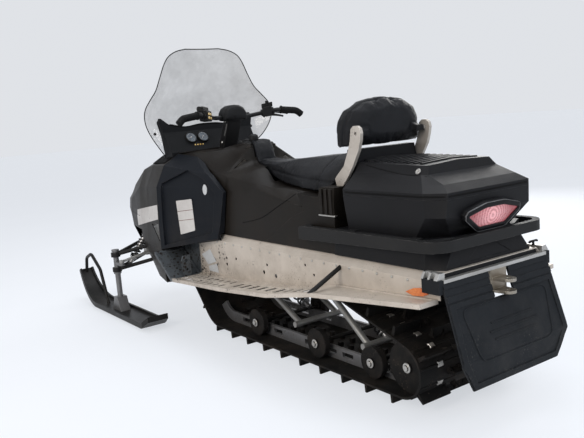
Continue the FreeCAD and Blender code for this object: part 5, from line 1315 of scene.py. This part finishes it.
class SledTrack(bpy.types.Operator):
    """Track's cross rods, clips and guide lugs, and the idler wheels' spokes and caps"""
    bl_idname = "sled.track"
    bl_label = "Track details"

    def execute(self, context):
        rods = round_track(bar_shape(0.006, -0.25, 0.25, -0.001, 0.0028, 0.5), 0.5)
        walls = side_bars(0.014, (0.060, 0.110), 0.005, -0.001, 0.026, 0.42, 0.0)
        piece("track_ribs", joined([rods, walls]), "track_rubber", smooth=0.0)
        clips = side_bars(0.011, (0.150,), 0.014, -0.001, 0.004, 0.8, 0.5)
        piece("track_clips", clips, "zinc", smooth=0.0)
        guides = side_bars(0.010, (0.035,), 0.009, -0.019, 0.001, 1.0, 0.5, -BELT)
        piece("track_guides", guides, "track_rubber", smooth=0.0)
        spokes, caps, tyres = [], [], []
        for x, z, radius, y in WHEELS:
            for angle in np.arange(SPOKES) * 2 * math.pi / SPOKES + 0.3:
                way = np.array([math.cos(angle), 0, math.sin(angle)])
                spokes.append(slab(oblong(0.003, 0.02, radius - 0.017), 0.007, (x, y + 0.003, z),
                                   (-way[2], 0, way[0]), way))
            caps.append(turned([(0.0195, 0.0), (0.0195, 0.003), (0.012, 0.004), (0.0105, 0.010),
                                (0.0, 0.010)], (x, y + 0.0205, z), (0, 1, 0), 18))
            rim, tread = radius - 0.009, radius - 0.001
            tyres.append(turned([(rim, 0.0), (tread, 0.0), (tread, 0.0018), (rim, 0.0018)],
                                (x, y + 0.0125, z), (0, 1, 0), 48))
        piece("wheel_spokes", twin(joined(spokes)), "wheel_black", smooth=0.0)
        piece("wheel_caps", twin(joined(caps)), "zinc", smooth=40.0)
        piece("wheel_tyres", twin(joined(tyres)), "track_rubber", smooth=40.0)
        return {"FINISHED"}


# Console's sloping top behind the seat's nose: x, its height in the solid, how far the dressed one lies below
CONSOLE_SLOPE = ((-0.330, 0.803, 0.0), (-0.240, 0.8546, 0.0), (-0.197, 0.8792, 0.014),
                 (-0.150, 0.9062, 0.040), (-0.110, 0.9291, 0.060), (-0.075, 0.9491, 0.070),
                 (-0.055, 0.9605, 0.060), (-0.042, 0.9680, 0.014))
# Outer skin on each side of that flat top: x, half width of the flat; both shoulders end at one line
CONSOLE_FLAT = ((-0.331, 0.205), (-0.197, 0.156), (-0.150, 0.132), (-0.110, 0.111), (-0.075, 0.093),
                (-0.042, 0.076))
CONSOLE_SHOULDER = (0.238, ((-0.331, 0.795), (-0.197, 0.819), (-0.055, 0.840), (-0.042, 0.841)))
# Half width of the seat's nose in plan: x, y
NOSE_PLAN = ((-0.372, 0.150), (-0.200, 0.104), (-0.060, 0.062), (0.030, 0.056))
# Skin's thickness, the height under the seat's nose that the dressed skin keeps below, and where that ends
CONSOLE_WALL = 0.0100
UNDER_SEAT = 0.876
NOSE_END = -0.055
# How far over the skin's line, and how far beside the nose's line, a point may lie and still belong to it
SKIN_SPARE = 0.0015
NOSE_SPARE = 0.0004


class SledConsole(bpy.types.Operator):
    """Console moulding whose top dips behind the seat's nose, so that the nose stands clear of it"""
    bl_idname = "sled.console"
    bl_label = "Console"

    def execute(self, context):
        work = bmesh.new()
        work.from_mesh(NODES["console"].data)
        bmesh.ops.remove_doubles(work, verts=work.verts, dist=1e-5)
        cuts = [((row[0], 0, 0), (1, 0, 0)) for row in CONSOLE_SLOPE]
        (x0, y0), (x1, y1) = NOSE_PLAN[1:3]
        cuts += [((x0, side * y0, 0), (y1 - y0, -side * (x1 - x0), 0)) for side in SIDES]
        for at, normal in cuts:
            every = work.verts[:] + work.edges[:] + work.faces[:]
            bmesh.ops.bisect_plane(work, geom=every, dist=1e-6, plane_co=at, plane_no=normal)
        points = np.array([v.co[:] for v in work.verts])
        x, y, z = points.T
        slope = np.array(CONSOLE_SLOPE)
        top = np.interp(x, slope[:, 0], slope[:, 1])
        flat = np.interp(x, *np.array(CONSOLE_FLAT).T)
        edge, ends = CONSOLE_SHOULDER
        aside = np.clip((np.abs(y) - flat) / (edge - flat), 0.0, 1.0)
        skin = top + (np.interp(x, *np.array(ends).T) - top) * aside
        reach = (x > slope[0, 0] - 0.001) & (x < slope[-1, 0] + 0.001) & (aside < 1.0)
        near = reach & (z < skin + SKIN_SPARE) & (z > skin - CONSOLE_WALL)
        inside = near & (np.abs(y) < np.interp(x, *np.array(NOSE_PLAN).T) + NOSE_SPARE) & (x < NOSE_END)
        z = np.where(near, z - np.interp(x, slope[:, 0], slope[:, 2]) * (1.0 - aside), z)
        z = np.where(inside, np.minimum(z, UNDER_SEAT - (top - points[:, 2])), z)
        for vert, height in zip(work.verts, z):
            vert.co.z = height
        bmesh.ops.triangulate(work, faces=work.faces)
        mesh = bpy.data.meshes.new("console_moulding")
        work.to_mesh(mesh)
        work.free()
        made = bpy.data.objects.new("console_moulding", mesh)
        context.scene.collection.objects.link(made)
        mesh.materials.append(FINISHES["body_black"])
        shade(made, 20.0)
        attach(made, "chassis")
        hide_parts("console")
        return {"FINISHED"}


def on_flap(places, lift):
    """Points (y, z) laid on the flap's rear face, lifted off it by a distance."""
    skin = surface_of("snow_flap")
    hits = [skin.ray_cast(Vector((-2.0, y, z)), Vector((1, 0, 0))) for y, z in places]
    return np.array([tuple(at + normal * lift) for at, normal, _, _ in hits])


# Draped sheet: how far its face is lifted off the surface, and its depth
DRAPE_LIFT = 0.0007
DRAPE_DEPTH = 0.003


def draped(corners, rows, columns, *solids):
    """Thin sheet on the solids' left flank: a grid between four corners (x, z), cast on to the surface along
    y and lifted off it, and again further in."""
    skin = surface_of(*solids)
    a, b, c, d = np.array(corners, float)
    s, t = np.meshgrid(np.linspace(0, 1, rows), np.linspace(0, 1, columns), indexing="ij")
    s, t = s[..., None], t[..., None]
    flat = (1 - s) * ((1 - t) * a + t * b) + s * ((1 - t) * d + t * c)
    points = []
    for x, z in flat.reshape(-1, 2):
        at, normal, _, _ = skin.ray_cast(Vector((x, 1, z)), Vector((0, -1, 0)))
        points.append(tuple(at + normal * (DRAPE_LIFT if normal.y > 0 else -DRAPE_LIFT)))
    top = np.array(points).reshape(rows, columns, 3)
    return thickened(top, top - np.array([0, DRAPE_DEPTH, 0]))


# Box's rim from above, with bevelled rear corners: x, y; then its height
BOX_RIM = ((-0.957, -0.2485), (-1.370, -0.2485), (-1.4465, -0.212), (-1.4465, 0.212), (-1.370, 0.2485),
           (-0.957, 0.2485))
BOX_RIM_Z = 0.7945
# y where the plates and rivets start on the tunnel's left face
TUNNEL_SIDE = 0.2752
# Leg shield's sunk face: a point of it, and the direction forwards in it
SHIELD_AT = (0.230, 0.3367, 0.600)
SHIELD_AHEAD = np.array([1.0, 0.2376, 0.0])
# Middle of the lock on the lid's left flank
LOCK_AT = np.array([-1.290, 0.1835, 0.872])


class SledBody(bpy.types.Operator):
    """Panel and lid lines, bare plates, vents, rivets, caps, the box's seal and lock, rear fittings"""
    bl_idname = "sled.body"
    bl_label = "Body fittings"

    def execute(self, context):
        line = eased([(-0.20, 0.2534, 0.618), (-0.36, 0.2527, 0.652), (-0.50, 0.2514, 0.712),
                      (-0.64, 0.2488, 0.774)], 30)
        piece("panel_lines", twin(swept(line, 0.0017, 6)), "seam_dark", smooth=60.0)
        seam = eased([(-1.004, 0.1700, 0.891), (-1.091, 0.1790, 0.878), (-1.160, 0.1850, 0.869),
                      (-1.221, 0.1890, 0.862), (-1.282, 0.1918, 0.859), (-1.334, 0.1870, 0.856)], 24)
        piece("lid_seam", twin(swept(seam, 0.0016, 6)), "seam_dark", smooth=60.0,
              body="lid")

        plate = rounded([(-0.048, -0.067), (0.069, -0.040), (0.064, 0.122), (-0.060, 0.110)], 0.006, 4)
        piece("shield_plate", twin(slab(plate, 0.0016, SHIELD_AT, -SHIELD_AHEAD, UP)), "plate_white",
              smooth=30.0)
        bars = [slab([(near, z - 0.0012), (far, z + 0.0122), (far, z + 0.0146), (near, z + 0.0012)], 0.0020,
                     SHIELD_AT, -SHIELD_AHEAD, UP)
                for z, near, far in ((0.054, -0.0555, 0.0645), (0.006, -0.0520, 0.0655))]
        piece("shield_plate_lines", twin(joined(bars)), "line_red", smooth=0.0)
        oval = circle(1.0, 24) * np.array([0.016, 0.026])
        piece("shield_tag", twin(slab(oval, 0.0018, (0.068, 0.2945, 0.770), (-1.0, -0.23, 0), (0, -0.05, 1))),
              "plate_silver", smooth=40.0)
        tags = [slab(rounded(corners, 0.003, 4), 0.0012, (0, TUNNEL_SIDE, 0), (-1, 0, 0), UP)
                for corners in (((-0.205, 0.425), (-0.111, 0.461), (-0.058, 0.403), (-0.143, 0.377)),
                                ((-0.139, 0.371), (-0.055, 0.391), (-0.040, 0.347), (-0.136, 0.347)))]
        piece("tunnel_tags", twin(joined(tags)), "plate_silver", smooth=30.0)

        rows = [(x, TUNNEL_SIDE, 0.506) for x in np.arange(-1.38, 0.50, 0.0783)]
        piece("tunnel_rivets", twin(rivets(rows, (0, 1, 0), 0.0055)), "frame_alloy",
              smooth=50.0)

        seal = rounded(BOX_RIM, 0.012, 5)
        path = np.column_stack([seal, np.full(len(seal), BOX_RIM_Z)])
        piece("box_seal", looped(path, 0.0042, 8), "seam_dark", smooth=60.0)
        lock = turned([(0.0110, -0.003), (0.0110, 0.0022), (0.0098, 0.0032), (0.0045, 0.0032),
                       (0.004, 0.0018), (0.0, 0.0018)], LOCK_AT, (0, 0.83, 0.55), 26)
        slot = slab(oblong(0.0007, -0.004, 0.004), 0.0008, LOCK_AT + (0, 0.0027, 0.0018), (1, 0, 0),
                    (0, -0.55, 0.83))
        piece("lid_lock", joined([lock, slot]), "zinc", smooth=40.0, body="lid")

        foot = slab(rounded([(-0.905, 0.244), (-0.800, 0.244), (-0.800, 0.262), (-0.905, 0.262)], 0.006, 4),
                    0.006, (0, 0, 0.6945), (1, 0, 0), (0, 1, 0))
        piece("rib_foot", twin(foot), "zinc", smooth=30.0, bevel=0.001)
        knob = turned([(0.024, -0.01), (0.024, 0.006), (0.021, 0.012), (0.014, 0.0165), (0.0, 0.018)],
                      (-0.006, 0.030, 1.0035), (-0.12, 0.1, 1), 24)
        piece("nose_knob", knob, "control_black", smooth=50.0)
        cap = turned([(0.046, -0.012), (0.046, 0.006), (0.043, 0.012), (0.016, 0.014), (0.012, 0.022),
                      (0.0, 0.024)], (0.110, 0.0, 0.9735), (-0.15, 0, 1), 36)
        grip = [slab(oblong(0.004, -0.036, 0.036), 0.010, (0.110, 0.0, 0.983),
                     (math.cos(a), math.sin(a), 0.0), (-math.sin(a), math.cos(a), 0.0)) for a in (0.4, 1.97)]
        piece("fuel_cap", joined([cap] + grip), "control_black", smooth=40.0, bevel=0.0012)
        self.vents()
        self.rear()
        band = draped(((0.844, 0.628), (0.844, 0.535), (0.436, 0.608), (0.436, 0.686)), 30, 12, "hood",
                      "bellypan")
        piece("hood_band", twin(band), "plate_white", smooth=60.0)
        return {"FINISHED"}

    def rear(self):
        """Lip under the tunnel's end, cleat on its corner, and the flap's raised bead and ribs."""
        lip = slab(oblong(0.246, 0.5265, 0.5440), 0.0022, (-1.4485, 0, 0), (0, 1, 0), UP)
        piece("tunnel_end_lip", lip, "moulding_black", smooth=0.0, bevel=0.0008)
        stem = turned([(0.0065, 0.0), (0.0045, 0.004), (0.0045, 0.014)], (-1.425, -0.262, 0.549), UP, 14)
        bar = swept([(-1.425, -0.286, 0.562), (-1.425, -0.281, 0.565), (-1.425, -0.243, 0.565),
                     (-1.425, -0.238, 0.562)], 0.0042, 10)
        piece("end_cleat", joined([stem, bar]), "control_black", smooth=50.0)
        field = rounded([(0.226, 0.420), (-0.226, 0.420), (-0.192, 0.242), (0.192, 0.242)], 0.034, 7)
        bead = np.concatenate([evenly(np.column_stack([np.zeros(2), a, b]), 9)[0][:-1]
                               for a, b in (np.stack([field[k], field[(k + 1) % len(field)]], 1)
                                            for k in range(len(field)))])
        shapes = [looped(on_flap(bead[:, 1:], 0.0005), 0.0028, 8, FORWARD)]
        for y0, y1, z in ((0.105, -0.120, 0.352), (0.120, -0.135, 0.325), (0.105, -0.120, 0.298)):
            line = np.column_stack([np.linspace(y0, y1, 24), np.full(24, z)])
            shapes.append(swept(on_flap(line, 0.0002), 0.0032, 8, FORWARD))
        piece("flap_beads", joined(shapes), "flap_rubber", smooth=60.0)

    def vents(self):
        """Louvres on the hood's shoulder: slats at even steps of x on the ruled face between two sections."""
        slats = []
        for share in np.linspace(0.08, 0.92, 11):
            x = 0.445 + 0.19 * share
            t = (x - 0.430) / 0.170
            inner = np.array([x, 0.230 - 0.010 * t, 0.948 - 0.006 * t])
            outer = np.array([x, 0.332 - 0.014 * t, 0.890 - 0.004 * t])
            way = unit(outer - inner)
            slats.append(slab(oblong(0.0045, 0.020, 0.096), 0.004, inner + np.cross(FORWARD, way) * 0.0005,
                              FORWARD, way))
        piece("hood_louvres", twin(joined(slats)), "seam_dark", smooth=0.0)


CLASSES = [SledSizes, SledLooks, SledStage, SledFinishes, SledSeat, SledBackrest, SledScreen, SledBars,
           SledGauges, SledLamps, SledDampers, SledTrack, SledConsole, SledBody]


class SledPanel(bpy.types.Panel):
    """Lists the pieces with their sizes and colours"""
    bl_idname = "VIEW3D_PT_sled"
    bl_label = "Snowmobile"
    bl_space_type = "VIEW_3D"
    bl_region_type = "UI"
    bl_category = "Snowmobile"

    def draw(self, context):
        for values in (context.scene.sled_sizes, context.scene.sled_looks):
            for name in values.__annotations__:
                self.layout.prop(values, name)
        for made in CLASSES:
            if issubclass(made, bpy.types.Operator):
                self.layout.operator(made.bl_idname)


def register():
    """Adds the classes and the scene's values."""
    for made in CLASSES + [SledPanel]:
        bpy.utils.register_class(made)
    bpy.types.Scene.sled_sizes = PointerProperty(type=SledSizes)
    bpy.types.Scene.sled_looks = PointerProperty(type=SledLooks)


def unregister():
    """Takes the classes and the scene's values away."""
    del bpy.types.Scene.sled_sizes
    del bpy.types.Scene.sled_looks
    for made in reversed(CLASSES + [SledPanel]):
        bpy.utils.unregister_class(made)


def main():
    """Runs every operator in order."""
    register()
    for made in [SledFinishes, SledStage] + CLASSES[4:]:
        group_name, call = made.bl_idname.split(".")
        if getattr(getattr(bpy.ops, group_name), call)() != {"FINISHED"}:
            raise RuntimeError(made.bl_label + " did not finish")


if __name__ == "__main__":
    main()
